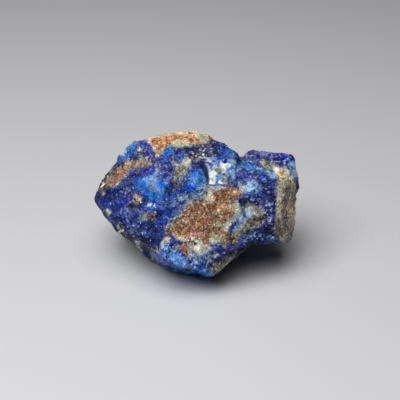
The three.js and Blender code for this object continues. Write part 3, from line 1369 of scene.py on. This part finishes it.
LILAC 33 40 111,82,4
LILAC 27 50 98,91,3
CREAM 33 90 147,47,4
SMOKE 36 80 136,-28,5
INK 27 80 -80,-89,4
INK 36 70 114,35,4
SLATE 40 80 -32,75,5
NAVY 40 50 -136,70,4
PEACH 27 50 -27,120,4
SMOKE 33 90 61,-61,5
INK 13 70 81 -121,-26,10 -105,-41,10 -88,-59,10
ICE 12 65 89 -121,-25,10 -105,-41,10 -91,-56,10
INK 13 60 85 -45,-86,10 -15,-101,10
ICE 12 60 91 -42,-83,10 -12,-101,10
INK 13 60 81 84,-56,7 124,-56,7
ICE 12 60 91 84,-54,7 124,-56,7
INK 13 70 83 118,40,8 121,-1,8 118,-39,8
SMOKE 15 75 85 -28,-36,10 -8,-16,13 13,-6,10 11,-46,10
PEACH 12 80 93 -28,-36,10 -8,-16,13 13,-6,10 11,-46,10
CREAM 12 70 93 -28,-43,8 -5,-26,12 5,-46,8
INK 12 60 93 -28,-36,10 -8,-16,13 13,-6,10 11,-46,10
ULTRA 50 60 -158,2,7 -144,-3,7 -131,2,7
VIVID 50 30 -151,0,7
NAVY 25 90 -95,-1,3
INK 20 95 -107,-1,4
INK 20 95 -87,6,3
TAN 13 90 -104,12,2
PEACH 10 90 -100,10,2
CREAM 10 100 -95,7,2
SAGE 23 95 15 -148,-10,3 -146,-15,3
WHITE 10 90 -148,-8,1
WHITE 8 100 -131,-36,1 -131,-40,1
WHITE 8 100 -127,-44,2 -122,-42,1
CREAM 8 100 -129,-46,1
LILAC 10 90 -118,-49,1
ICE 13 95 -100,-63,2 -97,-69,2 -93,-76,1
NAVY 50 40 -73,-39,10
HAZE 33 60 83,-15,5
CHALK 33 70 -156,20,3
HAZE 33 70 81,-18,7
SLATE 36 70 35,-74,4
SLATE 36 60 96,70,5
PEACH 33 60 -5,106,4
LILAC 40 40 -134,-16,5
NAVY 33 60 -149,2,5
UMBER 36 70 18,-25,5
NAVY 40 35 -32,75,5
MAROON 36 60 18,-26,5
DUSK 33 70 -106,7,3
COBALT 40 60 -75,52,6
TAN 33 70 -28,106,4
ULTRA 40 60 3,53,5
INK 27 80 -154,45,4
TAN 27 70 -50,-55,3
COBALT 40 50 -10,35,5
RUST 30 70 -47,103,4
COBALT 33 60 84,67,4
SMOKE 30 80 154,-58,4
UMBER 33 50 -138,35,4
ULTRA 40 50 8,-102,5
NAVY 40 60 -149,2,5
UMBER 36 80 45,-25,5
VIOLET 36 70 89,42,4
ULTRA 36 60 46,83,5
SLATE 33 70 -27,-6,4
LILAC 36 70 -110,-16,5
UMBER 33 50 38,0,5
CREAM 10 100 -95,7,2
PEACH 10 90 -100,10,2
""")

BEST_FACE_FOLDS = Fold.rows("""
105 10 -68,33,28
80 20 -10,27,14 3,48,15
112 30 -128,77,13 -105,92,15 -85,93,13
-70 20 -141,30,5 -115,47,5 -85,63,5 -65,77,5
50 10 -151,-15,7 -120,-8,7 -78,-3,8 -53,-1,8
-70 10 -103,-30,15 -75,-46,13
-20 10 -35,-43,13 -8,-20,22 18,2,15 55,19,13
-28 20 10,-39,20
-56 30 28,53,10 45,47,10
-70 50 10,70,3 18,53,3 16,33,3
-42 20 -8,80,7 30,83,8
70 20 51,82,15
-90 20 69,77,4 68,63,5 65,50,3
30 10 84,65,10 118,72,10 144,68,8
30 10 151,68,10
-50 60 144,68,2 151,58,2 156,53,2
42 40 124,53,5 121,7,5 118,-51,5
-50 10 78,14,8 81,-18,8 84,-46,8
42 20 -70,111,10 -28,116,10 13,110,8
-42 40 -62,90,5 -32,93,5 -2,95,5
-98 50 -98,4,7
-98 50 -126,-43,7
-84 50 -71,-20,5
-70 30 -81,-63,10
70 60 25,-89,5 51,-78,5 76,-64,5
-70 50 28,-99,4 55,-88,4 76,-74,4
42 40 30,-109,5 51,-98,5
56 20 -28,-96,13
49 40 -48,-59,7 -20,-76,7 8,-76,8 38,-59,7 58,-43,7
42 30 71,-1,7 68,-30,7
-49 30 -151,40,8 -128,58,8 -98,70,7
42 20 91,24,13
-63 30 84,-39,8 108,-26,8
42 40 81,-63,7 108,-63,7 141,-59,7
-35 40 133,40,2 134,-51,2
-35 40 146,32,2 149,-46,2
-35 40 157,24,2 157,-34,2
""")

BEST_FACE_RIM = Fold.knobs(1.4, """
-9,-169,15 -33,-163,30 -47,-154,45 -40,-144,58 -47,-134,72 -27,-126,87 17,-98,105 6,-67,115 -11,-50,118
-43,-33,120 -47,-17,121 -44,0,120 -27,16,115 -37,31,106 37,46,100 -38,60,90 -20,71,80 16,86,88 -42,103,88
-31,119,87 21,136,85 105,152,83 29,162,70 -11,166,55 -8,169,38 -29,167,20 -13,164,5 -59,164,-13 -41,162,-30
-30,159,-46 68,154,-61 10,137,-66 -36,121,-66 -98,104,-68 -122,88,-71 -31,74,-81 -6,61,-93 -35,48,-102
-11,36,-114 15,21,-121 -43,5,-119 -220,-12,-116 -46,-28,-114 13,-45,-109 23,-60,-102 -6,-75,-94 -47,-88,-84
-66,-98,-73 -26,-111,-61 -38,-125,-53 -27,-138,-41 -36,-148,-28 -44,-158,-15 12,-166,-1
""")


# Each mineral of the ground: its field's spacing in mm and seed, and where in the field it sets in and is whole.
GROUND: tuple[tuple[Tint, float, int, float, float], ...] = (
    (Tint.NAVY, 5.0, 1, 0.0, -0.35),
    (Tint.COBALT, 5.0, 1, 0.1, 0.32),
    (Tint.AZURE, 5.0, 1, 0.32, 0.55),
    (Tint.VIOLET, 4.0, 2, 0.12, 0.4),
    (Tint.DUSK, 4.0, 2, -0.2, -0.5),
    (Tint.SLATE, 2.2, 3, 0.25, 0.5),
    (Tint.HAZE, 8.0, 4, 0.1, 0.2),
    (Tint.SAGE, 8.0, 4, 0.17, 0.24),
    (Tint.CREAM, 8.0, 4, 0.25, 0.36),
    (Tint.UMBER, 8.0, 4, 0.34, 0.42),
    (Tint.ORANGE, 8.0, 4, 0.5, 0.6),
    (Tint.PUTTY, 6.0, 5, 0.24, 0.46),
    (Tint.OLIVE, 3.0, 6, 0.3, 0.56),
    (Tint.NEST, 3.0, 7, 0.52, 0.6),
)

# Each patchy change: what it grows in, its tint, spacing in mm, where it sets in and is whole, and how strong it is.
MOTTLES: tuple[tuple[Family, Tint, float, float, float, float], ...] = (
    (Family.BLUE, Tint.AZURE, 1.3, 0.1, 0.5, 0.2),
    (Family.BLUE, Tint.NAVY, 1.5, 0.05, 0.45, 0.5),
    (Family.BLUE, Tint.HAZE, 0.8, 0.25, 0.6, 0.25),
    (Family.BLUE, Tint.VIOLET, 1.1, 0.15, 0.5, 0.25),
    (Family.BLUE, Tint.INK, 0.6, 0.2, 0.5, 0.6),
    (Family.BLUE, Tint.LILAC, 0.45, 0.35, 0.6, 0.3),
    (Family.RUST, Tint.MAROON, 0.8, 0.05, 0.35, 0.75),
    (Family.RUST, Tint.TAN, 0.6, 0.2, 0.5, 0.45),
    (Family.RUST, Tint.ORANGE, 1.2, 0.15, 0.5, 0.25),
    (Family.RUST, Tint.ROSE, 0.4, 0.3, 0.55, 0.5),
    (Family.RUST, Tint.SMOKE, 0.45, 0.3, 0.55, 0.6),
    (Family.RUST, Tint.PEACH, 0.35, 0.45, 0.65, 0.6),
    (Family.MARBLE, Tint.OLIVE, 0.8, 0.1, 0.5, 0.5),
    (Family.MARBLE, Tint.CREAM, 0.9, 0.15, 0.5, 0.5),
    (Family.MARBLE, Tint.SMOKE, 0.5, 0.25, 0.6, 0.5),
    (Family.MARBLE, Tint.WHITE, 0.4, 0.4, 0.6, 0.4),
)

OTHER_SIDES: dict[Side, tuple[Stroke, ...]] = {
    Side.BACK: Stroke.rows("""
AZURE 90 100 60,-20,20 90,10,22 110,40,15
SKY 90 100 80,5,13
VIOLET 80 100 -130,30,24 -90,5,20
SAGE 50 100 12 -60,45,26 -10,55,34 40,35,22
UMBER 50 100 12 -50,48,15 -15,52,23 25,40,12
ORANGE 40 100 12 -20,42,8 -5,64,7
PUTTY 50 100 12 -35,-55,20 20,-50,24 50,-65,12
OLIVE 50 100 12 80,-55,14 115,-30,11
CREAM 40 100 12 -95,-35,11 -75,-28,9
NEST 30 100 45,-10,6 52,2,5
"""),
    Side.RIGHT: Stroke.rows("""
PUTTY 60 100 12 -30,20,30 10,-10,34 0,-50,22
NAVY 80 100 35,45,24 60,10,20
CREAM 50 100 12 15,25,13 25,-5,9
OLIVE 50 100 12 -10,-30,10 25,-45,12
RUST 40 100 12 36,-12,8 44,-26,6
"""),
    Side.LEFT: Stroke.rows("""
NAVY 150 100 0,0,50
AZURE 80 100 -50,30,16 -30,55,14
OLIVE 50 100 12 0,42,12 40,26,12
UMBER 40 100 12 10,40,8 32,30,7
CREAM 40 100 12 -40,-40,10 -15,-48,8
"""),
    Side.CROWN: Stroke.rows("""
CREAM 50 100 12 -65,10,16 -25,26,22 20,16,14
ORANGE 40 100 12 -58,12,10 -25,24,14 6,16,9
COBALT 70 100 -95,15,18 -85,45,18
VIOLET 70 100 100,20,24 140,10,16
"""),
    Side.UNDER: Stroke.rows("""
NAVY 150 100 -60,0,60 40,0,60
SAGE 60 100 12 -30,10,26 30,-10,30
UMBER 50 100 12 -10,10,14 30,-6,15
COBALT 70 100 -90,-15,15 -70,25,13
"""),
}


class Recipe:
    """A material's shader nodes, wired one after another."""

    def __init__(self, name: str) -> None:
        """Starts an empty material.

        Args:
            name: What it is called.
        """
        self.material = bpy.data.materials.new(name)
        self.material.use_nodes = True
        self.tree = self.material.node_tree
        self.tree.nodes.clear()
        self.place = self.node("ShaderNodeTexCoord").outputs["Object"]

    def node(self, kind: str, **settings: object) -> bpy.types.Node:
        """Adds a node.

        Args:
            kind: Its type.
            settings: Its options by name.

        Returns:
            The node.
        """
        made = self.tree.nodes.new(kind)
        for key, value in settings.items():
            setattr(made, key, value)
        return made

    def feed(self, socket: Socket, value: object) -> None:
        """Gives an input a link or a fixed value.

        Args:
            socket: The input.
            value: An output to link, or the value.
        """
        if isinstance(value, Socket):
            self.tree.links.new(value, socket)
        else:
            socket.default_value = value

    def channel(self, name: str) -> Socket:
        """A named attribute of the mesh, as a number."""
        return self.node("ShaderNodeAttribute", attribute_name=name).outputs["Fac"]

    def tint(self) -> Socket:
        """The colour painted on the mesh."""
        return self.node("ShaderNodeAttribute", attribute_name="tint").outputs["Color"]

    def clouds(self, spacing: float, detail: float = 3.0) -> Socket:
        """A noise field of 0 to 1.

        Args:
            spacing: Distance between its lumps, in mm.
            detail: How many finer layers it has.

        Returns:
            The field.
        """
        field_node = self.node("ShaderNodeTexNoise")
        self.feed(field_node.inputs["Vector"], self.place)
        field_node.inputs["Scale"].default_value = 1 / (spacing * MM)
        field_node.inputs["Detail"].default_value = detail
        field_node.inputs["Roughness"].default_value = CLOUD_ROUGHNESS
        return field_node.outputs["Fac"]

    def grains(self, spacing: float) -> tuple[Socket, Socket]:
        """Cells like packed grains.

        Args:
            spacing: Distance between their middles, in mm.

        Returns:
            The distance from each cell's middle, and a random colour for each.
        """
        cells = self.node("ShaderNodeTexVoronoi")
        self.feed(cells.inputs["Vector"], self.place)
        cells.inputs["Scale"].default_value = 1 / (spacing * MM)
        return cells.outputs["Distance"], cells.outputs["Color"]

    def sum(self, operation: str, first: object, second: object) -> Socket:
        """One arithmetic step.

        Args:
            operation: Which, by the node's name for it.
            first: The first number or output.
            second: The second.

        Returns:
            The result.
        """
        step = self.node("ShaderNodeMath", operation=operation)
        self.feed(step.inputs[0], first)
        self.feed(step.inputs[1], second)
        return step.outputs[0]

    def swing(self, value: Socket, middle: float, strength: float) -> Socket:
        """How far a number is from a middle one, times a strength."""
        return self.sum("MULTIPLY", self.sum("SUBTRACT", value, middle), strength)

    def spread(self, value: object, low: float, high: float, start: float = 0.0, end: float = 1.0) -> Socket:
        """Turns one range of numbers into another, with soft ends.

        Args:
            value: The output to turn.
            low: Where its range begins.
            high: Where that ends.
            start: What low becomes.
            end: What high becomes.

        Returns:
            The result.
        """
        step = self.node("ShaderNodeMapRange", interpolation_type="SMOOTHSTEP")
        for name, part in zip(("Value", "From Min", "From Max", "To Min", "To Max"), (value, low, high, start, end)):
            self.feed(step.inputs[name], part)
        return step.outputs["Result"]

    def mix(self, share: object, first: object, second: object, blend: str = "MIX") -> Socket:
        """Blends two colours.

        Args:
            share: How much of the second to use, from 0 to 1.
            first: The first colour or output.
            second: The second.
            blend: How they meet, by the node's name for it.

        Returns:
            The blend.
        """
        step = self.node("ShaderNodeMix", data_type="RGBA", blend_type=blend, clamp_factor=True, clamp_result=True)
        self.feed(step.inputs["Factor"], share)
        self.feed(step.inputs["A"], first)
        self.feed(step.inputs["B"], second)
        # The node lists its sockets once for each data type, so the colour ones are found by type.
        return next(out for out in step.outputs if out.type == "RGBA")

    def gamma(self, colour: Socket, power: float) -> Socket:
        """Raises each part of a colour to a power.

        Args:
            colour: The colour.
            power: The power.

        Returns:
            The result.
        """
        step = self.node("ShaderNodeGamma")
        self.feed(step.inputs["Color"], colour)
        step.inputs["Gamma"].default_value = power
        return step.outputs["Color"]

    def bump(self, height: object, distance: float, strength: float, onto: object = None) -> Socket:
        """Tilts the surface's normal by a height field.

        Args:
            height: The field.
            distance: How high 1 is, in mm.
            strength: How much of it to use.
            onto: A normal to add to, or None for the mesh's own.

        Returns:
            The normal.
        """
        step = self.node("ShaderNodeBump")
        self.feed(step.inputs["Height"], height)
        step.inputs["Distance"].default_value = distance * MM
        step.inputs["Strength"].default_value = strength
        if onto is not None:
            self.feed(step.inputs["Normal"], onto)
        return step.outputs["Normal"]

    def surface(self, **inputs: object) -> bpy.types.Material:
        """Ends the recipe in a Principled shader.

        Args:
            inputs: The shader's inputs by name, with _ for a space.

        Returns:
            The material.
        """
        shader = self.node("ShaderNodeBsdfPrincipled")
        for name, value in inputs.items():
            self.feed(shader.inputs[name.replace("_", " ")], value)
        output = self.node("ShaderNodeOutputMaterial")
        self.tree.links.new(shader.outputs["BSDF"], output.inputs["Surface"])
        return self.material


@dataclass(frozen=True)
class MineralLook:
    """How the rock shows: its tints, with a grain as pale and dark as the mineral is gritty, painted glints, and
    painted shade in its hollows.

    Attributes:
        name: What the material is called.
        swirls: How the tint changes slowly: the part of it, the spacing in mm, and that part's two ends.
        clouds: Soft layers of the grain, each a spacing in mm and a strength.
        cells: Layers of packed grains, each a spacing in mm and a strength.
        sparkle: Which of the finest cells glint, from a random number of 0 to 1, and how much paler they are.
        calm: The share of the grain that the least gritty mineral has.
        depths: How sunk a point is where its painted shade starts and where it is darkest, in mm.
        shadow: How much of the tint the darkest hollows lose to painted shade.
        deep: The colour of that painted shade.
        gloss: The roughness of the shiniest and the dullest grain.
        index: The minerals' refractive index.
        shine: The strength of their reflections, 0.5 being that of clear glass.
    """

    name: str = "mineral"
    swirls: tuple[tuple[str, float, float, float], ...] = (
        ("Hue", 1.1, 0.492, 0.506), ("Saturation", 0.8, 1.26, 0.98), ("Value", 1.5, 0.84, 1.38),
    )
    clouds: tuple[tuple[float, float], ...] = ((0.6, 0.6), (0.26, 0.75), (0.13, 1.1))
    cells: tuple[tuple[float, float], ...] = ((0.34, 0.1), (0.19, 0.28))
    sparkle: tuple[float, float, float] = (0.88, 0.98, 0.16)
    calm: float = 0.36
    depths: tuple[float, float] = (0.01, 0.12)
    shadow: float = 0.75
    deep: Paint = (16, 14, 26)
    gloss: tuple[float, float] = (0.3, 0.66)
    index: float = 1.52
    shine: float = 0.16

    def grained(self, recipe: Recipe, tint: Socket, grain: Socket) -> Socket:
        """Makes a colour lighter or darker by its grain, by the same step whatever the colour."""
        shown = recipe.gamma(tint, 1 / EYE_GAMMA)
        return recipe.gamma(recipe.mix(1.0, shown, grain, "ADD"), EYE_GAMMA)

    def material(self) -> bpy.types.Material:
        """Wires the finish.

        Returns:
            The material.
        """
        recipe = Recipe(self.name)
        swirl = recipe.node("ShaderNodeHueSaturation")
        recipe.feed(swirl.inputs["Color"], recipe.tint())
        for part, spacing, start, end in self.swirls:
            recipe.feed(swirl.inputs[part], recipe.spread(recipe.clouds(spacing), *MOST_CLOUDS, start, end))
        parts = [(recipe.clouds(spacing, 2.0), strength) for spacing, strength in self.clouds]
        for spacing, strength in self.cells:
            lone = recipe.node("ShaderNodeSeparateColor")
            recipe.feed(lone.inputs["Color"], recipe.grains(spacing)[1])
            parts.append((lone.outputs["Red"], strength))
        # Painted glints: the rarest of the finest cells are made paler, and the grain carries them from here on.
        rarest, surest, paler = self.sparkle
        grain = recipe.spread(lone.outputs["Green"], rarest, surest, 0.0, paler)
        for layer, strength in parts:
            grain = recipe.sum("ADD", grain, recipe.swing(layer, 0.5, strength))
        gritty = recipe.sum("MULTIPLY", recipe.channel(Channel.GRIT.value), 1 - self.calm)
        grain = recipe.sum("MULTIPLY", grain, recipe.sum("ADD", gritty, self.calm))
        colour = self.grained(recipe, swirl.outputs["Color"], grain)
        # Painted shade: the tint darkens towards a near-black in hollows, the deeper the darker.
        sunk = recipe.spread(recipe.channel(Channel.HOLLOW.value), *self.depths, 0.0, self.shadow)
        colour = recipe.mix(sunk, colour, linear(*self.deep))
        normal = recipe.bump(grain, distance=0.25, strength=0.5)
        normal = recipe.bump(recipe.grains(0.3)[0], distance=0.05, strength=0.5, onto=normal)
        gloss = recipe.spread(lone.outputs["Green"], 0.0, 1.0, *self.gloss)
        return recipe.surface(
            Base_Color=colour, Roughness=gloss, Normal=normal, IOR=self.index, Specular_IOR_Level=self.shine,
        )


@dataclass(frozen=True)
class GrainLook(MineralLook):
    """How small crystals show: the rock's tint under them, each crystal lighter or darker by a random share.

    Attributes:
        contrast: How much lighter the lightest crystal is than the darkest.
        middle: The random share, from 0 to 1, of a crystal that is as light as the tint.
        rough: Their roughness.
        shine: The strength of their reflections, 0.5 being that of clear glass.
    """

    contrast: float = 0.3
    middle: float = 0.42
    rough: float = 0.36
    shine: float = 0.35

    def material(self) -> bpy.types.Material:
        """Wires the finish.

        Returns:
            The material.
        """
        recipe = Recipe(self.name)
        grain = recipe.swing(recipe.channel("shade"), self.middle, self.contrast)
        cloudy = recipe.swing(recipe.clouds(0.15), 0.5, 0.5)
        colour = self.grained(recipe, recipe.tint(), recipe.sum("ADD", grain, cloudy))
        normal = recipe.bump(recipe.clouds(0.08), distance=0.02, strength=0.4)
        return recipe.surface(
            Base_Color=colour, Roughness=self.rough, Normal=normal, IOR=self.index, Specular_IOR_Level=self.shine,
        )


@dataclass(frozen=True)
class PyriteLook:
    """Brassy crystal faces, tarnished here and there.

    Attributes:
        name: What the material is called.
        brass: The bright metal's colour.
        tarnish: The dull metal's colour.
        gloss: The roughness of the bright and of the dull metal.
    """

    name: str = "pyrite"
    brass: Paint = (186, 166, 132)
    tarnish: Paint = (104, 82, 60)
    gloss: tuple[float, float] = (0.4, 0.62)

    def material(self) -> bpy.types.Material:
        """Wires the finish.

        Returns:
            The material.
        """
        recipe = Recipe(self.name)
        dull = recipe.spread(recipe.clouds(0.3), 0.4, 0.7)
        return recipe.surface(
            Base_Color=recipe.mix(dull, linear(*self.brass), linear(*self.tarnish)), Metallic=1.0,
            Roughness=recipe.spread(dull, 0.0, 1.0, *self.gloss),
            Normal=recipe.bump(recipe.clouds(0.1), distance=0.02, strength=0.4),
        )


@dataclass
class Rock:
    """The lump itself.

    Attributes:
        name: What the piece is called.
        voxel: The size of its mesh's faces, in mm.
        relax_rounds: How often the fresh mesh is evened out.
        soft_above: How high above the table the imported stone's edges are softened, in mm.
        base: How high above the table a point still belongs to the flat that the stone rests on, in mm.
        hidden_loose: How many times as uneven as usual the strokes of the hidden sides are.
        smooth_chip: How strongly the smoothest mineral shows the finest flats, from 0 to 1.
        look: Its finish.
    """

    name: str = "rock"
    voxel: float = 0.18
    relax_rounds: int = 22
    soft_above: float = 0.3
    base: float = 0.05
    hidden_loose: float = 4.0
    smooth_chip: float = 0.4
    look: MineralLook = field(default_factory=MineralLook)

    def fine_mesh(self) -> bpy.types.Mesh:
        """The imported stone's shape, in mm, with an even fine mesh.

        Returns:
            A closed mesh of small quads.
        """
        source = bmesh.new()
        source.from_mesh(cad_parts[STONE_NODE].data)
        bmesh.ops.remove_doubles(source, verts=source.verts, dist=0.001 * MM)
        bmesh.ops.scale(source, verts=source.verts, vec=(1 / MM, 1 / MM, 1 / MM))
        raised = [corner for corner in source.verts if corner.co.z > self.soft_above]
        bmesh.ops.smooth_vert(source, verts=raised, factor=0.5, use_axis_x=True, use_axis_y=True, use_axis_z=True)
        coarse = mesh_of(source, "coarse")
        draft = put("draft", coarse)
        remesh = draft.modifiers.new("remesh", "REMESH")
        remesh.mode = "VOXEL"
        remesh.voxel_size = self.voxel
        mesh = bpy.data.meshes.new_from_object(draft.evaluated_get(bpy.context.evaluated_depsgraph_get()))
        bpy.data.objects.remove(draft)
        bpy.data.meshes.remove(coarse)
        mesh.name = self.name
        return mesh

    def build(self) -> tuple[bpy.types.Object, Skin]:
        """Shapes and paints the rock.

        Returns:
            The finished piece and its skin.
        """
        views = {side: Outlook(side, aim_point()) for side in Side}
        skin = Skin(self.fine_mesh())
        base = skin.points[:, 2] < self.base
        relaxed = skin.even_out(skin.points, self.relax_rounds)
        skin.points[~base] = relaxed[~base]
        carver = Carver(skin)
        carver.roughen(spacing=5.0, height=0.12, seed=31)
        # The rim's knobs go right round the stone, and the folds stay on the best face.
        carver.fold(views[Side.BEST], BEST_FACE_RIM, fade=(-1.05, -0.9))
        carver.fold(views[Side.BEST], BEST_FACE_FOLDS)
        carver.chip(spacing=2.6, lean=0.10, crisp=22.0, seed=41)
        carver.chip(spacing=1.0, lean=0.12, crisp=-30.0, seed=42)
        painter = Painter(skin)
        painter.ground()
        for side, strokes in OTHER_SIDES.items():
            painter.brush(views[side], strokes, self.hidden_loose)
        painter.brush(views[Side.BEST], BEST_FACE)
        painter.mottle()
        gritty = self.smooth_chip + (1 - self.smooth_chip) * skin.channels[Channel.GRIT]
        carver.chip(spacing=0.55, lean=0.10, crisp=60.0, seed=43, share=gritty)
        painter.settle()
        skin.write()
        mesh = skin.mesh
        mesh.shade_smooth()
        mesh.materials.clear()
        mesh.materials.append(self.look.material())
        piece = put(self.name, mesh)
        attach(piece, BODY)
        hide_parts(STONE_NODE)
        return piece, skin


class Habit(Enum):
    """The shape a small crystal grows in."""

    NUGGET = "nugget"
    RHOMB = "rhomb"
    CUBE = "cube"


@dataclass
class Crust:
    """Small crystals of one mineral, set into the rock where it grows.

    Attributes:
        name: What the piece is called.
        habit: The crystals' shape.
        count: How many there are.
        size: The smallest and the largest, in mm across.
        look: Their finish.
        seed: Fixes the draw.
        tint: What their colour leans to, or None for the rock's own.
        tinted: How far it leans, from 0 to 1.
        sink: The share of a crystal's width that is sunk in the rock.
        shapes: How many different crystals are made.
        lean: How far a rhomb leans over, both ways, as a slope.
        skew: How far the corners are out of true, as a share of the size.
        stretch: How much longer or shorter than its size a crystal is at most, as a share.
        clear: How high above the table they start, in mm.
    """

    name: str
    habit: Habit
    count: int
    size: tuple[float, float]
    look: GrainLook | PyriteLook
    seed: int
    tint: Tint | None = None
    tinted: float = 0.6
    sink: float = 0.6
    shapes: int = 6
    lean: tuple[float, float] = (0.35, 0.2)
    skew: float = 0.22
    stretch: float = 0.25
    clear: float = 0.6

    def crystal(self, draw: np.random.Generator) -> bpy.types.Mesh:
        """One crystal, 1 mm across, its corners a little out of true.

        Args:
            draw: Where its unevenness comes from.

        Returns:
            The crystal's mesh.
        """
        shape = bmesh.new()
        if self.habit is Habit.NUGGET:
            bmesh.ops.create_icosphere(shape, subdivisions=1, radius=0.5)
        else:
            bmesh.ops.create_cube(shape, size=0.8)
        if self.habit is Habit.RHOMB:
            bmesh.ops.transform(shape, matrix=Matrix.Shear("XY", 4, self.lean), verts=shape.verts)
        for corner in shape.verts:
            corner.co *= 1 + draw.uniform(-self.skew, self.skew)
        return mesh_of(shape, self.name + "_crystal")

    def build(self, skin: Skin, weight: Array) -> bpy.types.Object:
        """Sets the crystals.

        Args:
            skin: The rock's finished skin.
            weight: How likely a crystal is at each point.

        Returns:
            The piece, all its crystals in one mesh.
        """
        draw = np.random.default_rng(self.seed)
        shapes = [self.crystal(draw) for _ in range(self.shapes)]
        chance = np.clip(weight, 0, None) * (skin.points[:, 2] > self.clear)
        seats = draw.choice(len(skin.points), self.count, replace=False, p=chance / chance.sum())
        normals = skin.normals()
        crust = bmesh.new()
        shade_layer = crust.verts.layers.float.new("shade")
        tint_layer = crust.verts.layers.float_color.new("tint")
        paint = skin.paint()
        if self.tint:
            paint[:, :3] += (linear_parts(self.tint.colour) - paint[:, :3]) * self.tinted
        for seat in seats:
            first = len(crust.verts)
            crust.from_mesh(shapes[draw.integers(len(shapes))])
            crust.verts.ensure_lookup_table()
            fresh = crust.verts[first:]
            size = self.size[0] * (self.size[1] / self.size[0]) ** draw.random()
            turn = Euler(draw.uniform(0, 2 * math.pi, 3)).to_matrix()
            stretch = Matrix.Diagonal(draw.uniform(1 - self.stretch, 1 + self.stretch, 3) * size)
            at = Vector(skin.points[seat]) + Vector(normals[seat]) * size * (0.5 - self.sink)
            shade = draw.random()
            for corner in fresh:
                corner.co = (turn @ stretch @ corner.co + at) * MM
                corner[shade_layer] = shade
                corner[tint_layer] = paint[seat]
        mesh = mesh_of(crust, self.name)
        for shape in shapes:
            bpy.data.meshes.remove(shape)
        mesh.shade_flat()
        mesh.materials.append(self.look.material())
        piece = put(self.name, mesh)
        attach(piece, BODY)
        return piece


@dataclass(frozen=True)
class Lamp:
    """A soft square light.

    Attributes:
        name: What it is called.
        offset: Where it hangs from the stone's middle, in metres.
        size: Its side, in metres.
        power: Its power, in watts.
    """

    name: str
    offset: tuple[float, float, float]
    size: float
    power: float

    def hang(self, middle: Vector) -> None:
        """Hangs it.

        Args:
            middle: The stone's middle, which it faces, in metres.
        """
        lamp = bpy.data.lights.new(self.name, "AREA")
        lamp.size = self.size
        lamp.energy = self.power
        piece = put(self.name, lamp)
        piece.location = middle + Vector(self.offset)
        piece.rotation_euler = (middle - piece.location).to_track_quat("-Z", "Y").to_euler()


@dataclass
class Studio:
    """The floor, the lights and the camera. None of it is part of the stone.

    Attributes:
        lens: The camera's focal length, in mm, on a sensor 36 mm wide.
        aside: How far right of and above the stone's middle the camera aims, in mm.
        floor_size: The floor's side, in metres.
        floor_paint: The floor's colour.
        lamps: The lights.
        sky: The strength of the dim light from all round.
        sky_paint: Its colour.
    """

    lens: float = 100.0
    aside: tuple[float, float] = (0.5, 0.7)
    floor_size: float = 3.0
    floor_paint: Paint = (206, 206, 208)
    lamps: tuple[Lamp, ...] = (
        Lamp("broad", (-0.03, -0.07, 0.25), 0.26, 0.57), Lamp("near", (-0.07, -0.10, 0.20), 0.16, 0.33),
    )
    sky: float = 0.03
    sky_paint: Paint = (214, 218, 226)

    def floor(self) -> bpy.types.Object:
        """Lays the plain pale floor.

        Returns:
            The floor.
        """
        sheet = bmesh.new()
        bmesh.ops.create_grid(sheet, x_segments=1, y_segments=1, size=self.floor_size / 2)
        mesh = mesh_of(sheet, "floor")
        mesh.materials.append(Recipe("floor_grey").surface(Base_Color=linear(*self.floor_paint), Roughness=0.7))
        piece = put("floor", mesh)
        return piece

    def camera(self) -> None:
        """Stands the camera in front of the best face."""
        outlook = Outlook(Side.BEST, aim_point())
        lens = bpy.data.cameras.new("camera")
        lens.lens = self.lens
        lens.sensor_width = 36.0
        lens.clip_start, lens.clip_end = 0.01, 10.0
        piece = put("camera", lens)
        piece.location = outlook.eye * MM
        right, up = self.aside
        aim = (outlook.middle + outlook.right * right + outlook.up * up) * MM
        piece.rotation_euler = (aim - piece.location).to_track_quat("-Z", "Y").to_euler()
        bpy.context.scene.camera = piece

    def build(self) -> None:
        """Sets up the whole studio round the stone."""
        low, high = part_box(STONE_NODE)
        self.floor()
        self.camera()
        for lamp in self.lamps:
            lamp.hang((low + high) / 2)
        world = bpy.data.worlds.new("studio")
        world.use_nodes = True
        sky = world.node_tree.nodes["Background"].inputs
        sky["Color"].default_value = linear(*self.sky_paint)
        sky["Strength"].default_value = self.sky
        bpy.context.scene.world = world
        bpy.context.scene.view_settings.view_transform = "Standard"


def build_crusts(skin: Skin) -> list[bpy.types.Object]:
    """Sets every kind of small crystal.

    Args:
        skin: The rock's finished skin.

    Returns:
        The pieces.
    """
    grit, nest = skin.channels[Channel.GRIT], skin.channels[Channel.NEST]
    blue, rust, marble = (family.share(skin.tint) * grit for family in (Family.BLUE, Family.RUST, Family.MARBLE))
    look = GrainLook("small_crystals")
    crusts = (
        (Crust("rust_crystals", Habit.NUGGET, 2200, (0.14, 0.42), look, 71), rust**2),
        (Crust("calcite_rhombs", Habit.RHOMB, 1600, (0.12, 0.34), look, 75), rust**2 + 0.5 * marble**2),
        (Crust("marble_sugar", Habit.NUGGET, 1600, (0.12, 0.32), look, 72), marble**2),
        (Crust("lazurite_grains", Habit.NUGGET, 800, (0.12, 0.28), look, 73), blue**2),
        (Crust("calcite_flecks", Habit.RHOMB, 700, (0.1, 0.22), look, 76, Tint.ICE), 0.02 + 0.45 * blue + 0.6 * rust),
        (Crust("pyrite_grains", Habit.CUBE, 150, (0.12, 0.32), PyriteLook(), 74), nest * 6 + 0.003 * grit),
    )
    return [crust.build(skin, weight) for crust, weight in crusts]


def main() -> None:
    """Builds the studio and the specimen, and reports each piece."""
    logging.basicConfig(level=logging.INFO, format="%(message)s")
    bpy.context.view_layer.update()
    Studio().build()
    rock, skin = Rock().build()
    pieces = [rock, *build_crusts(skin)]
    for piece in pieces:
        LOG.info("%s: %d faces", piece.name, len(piece.data.polygons))


if __name__ == "__main__":
    main()
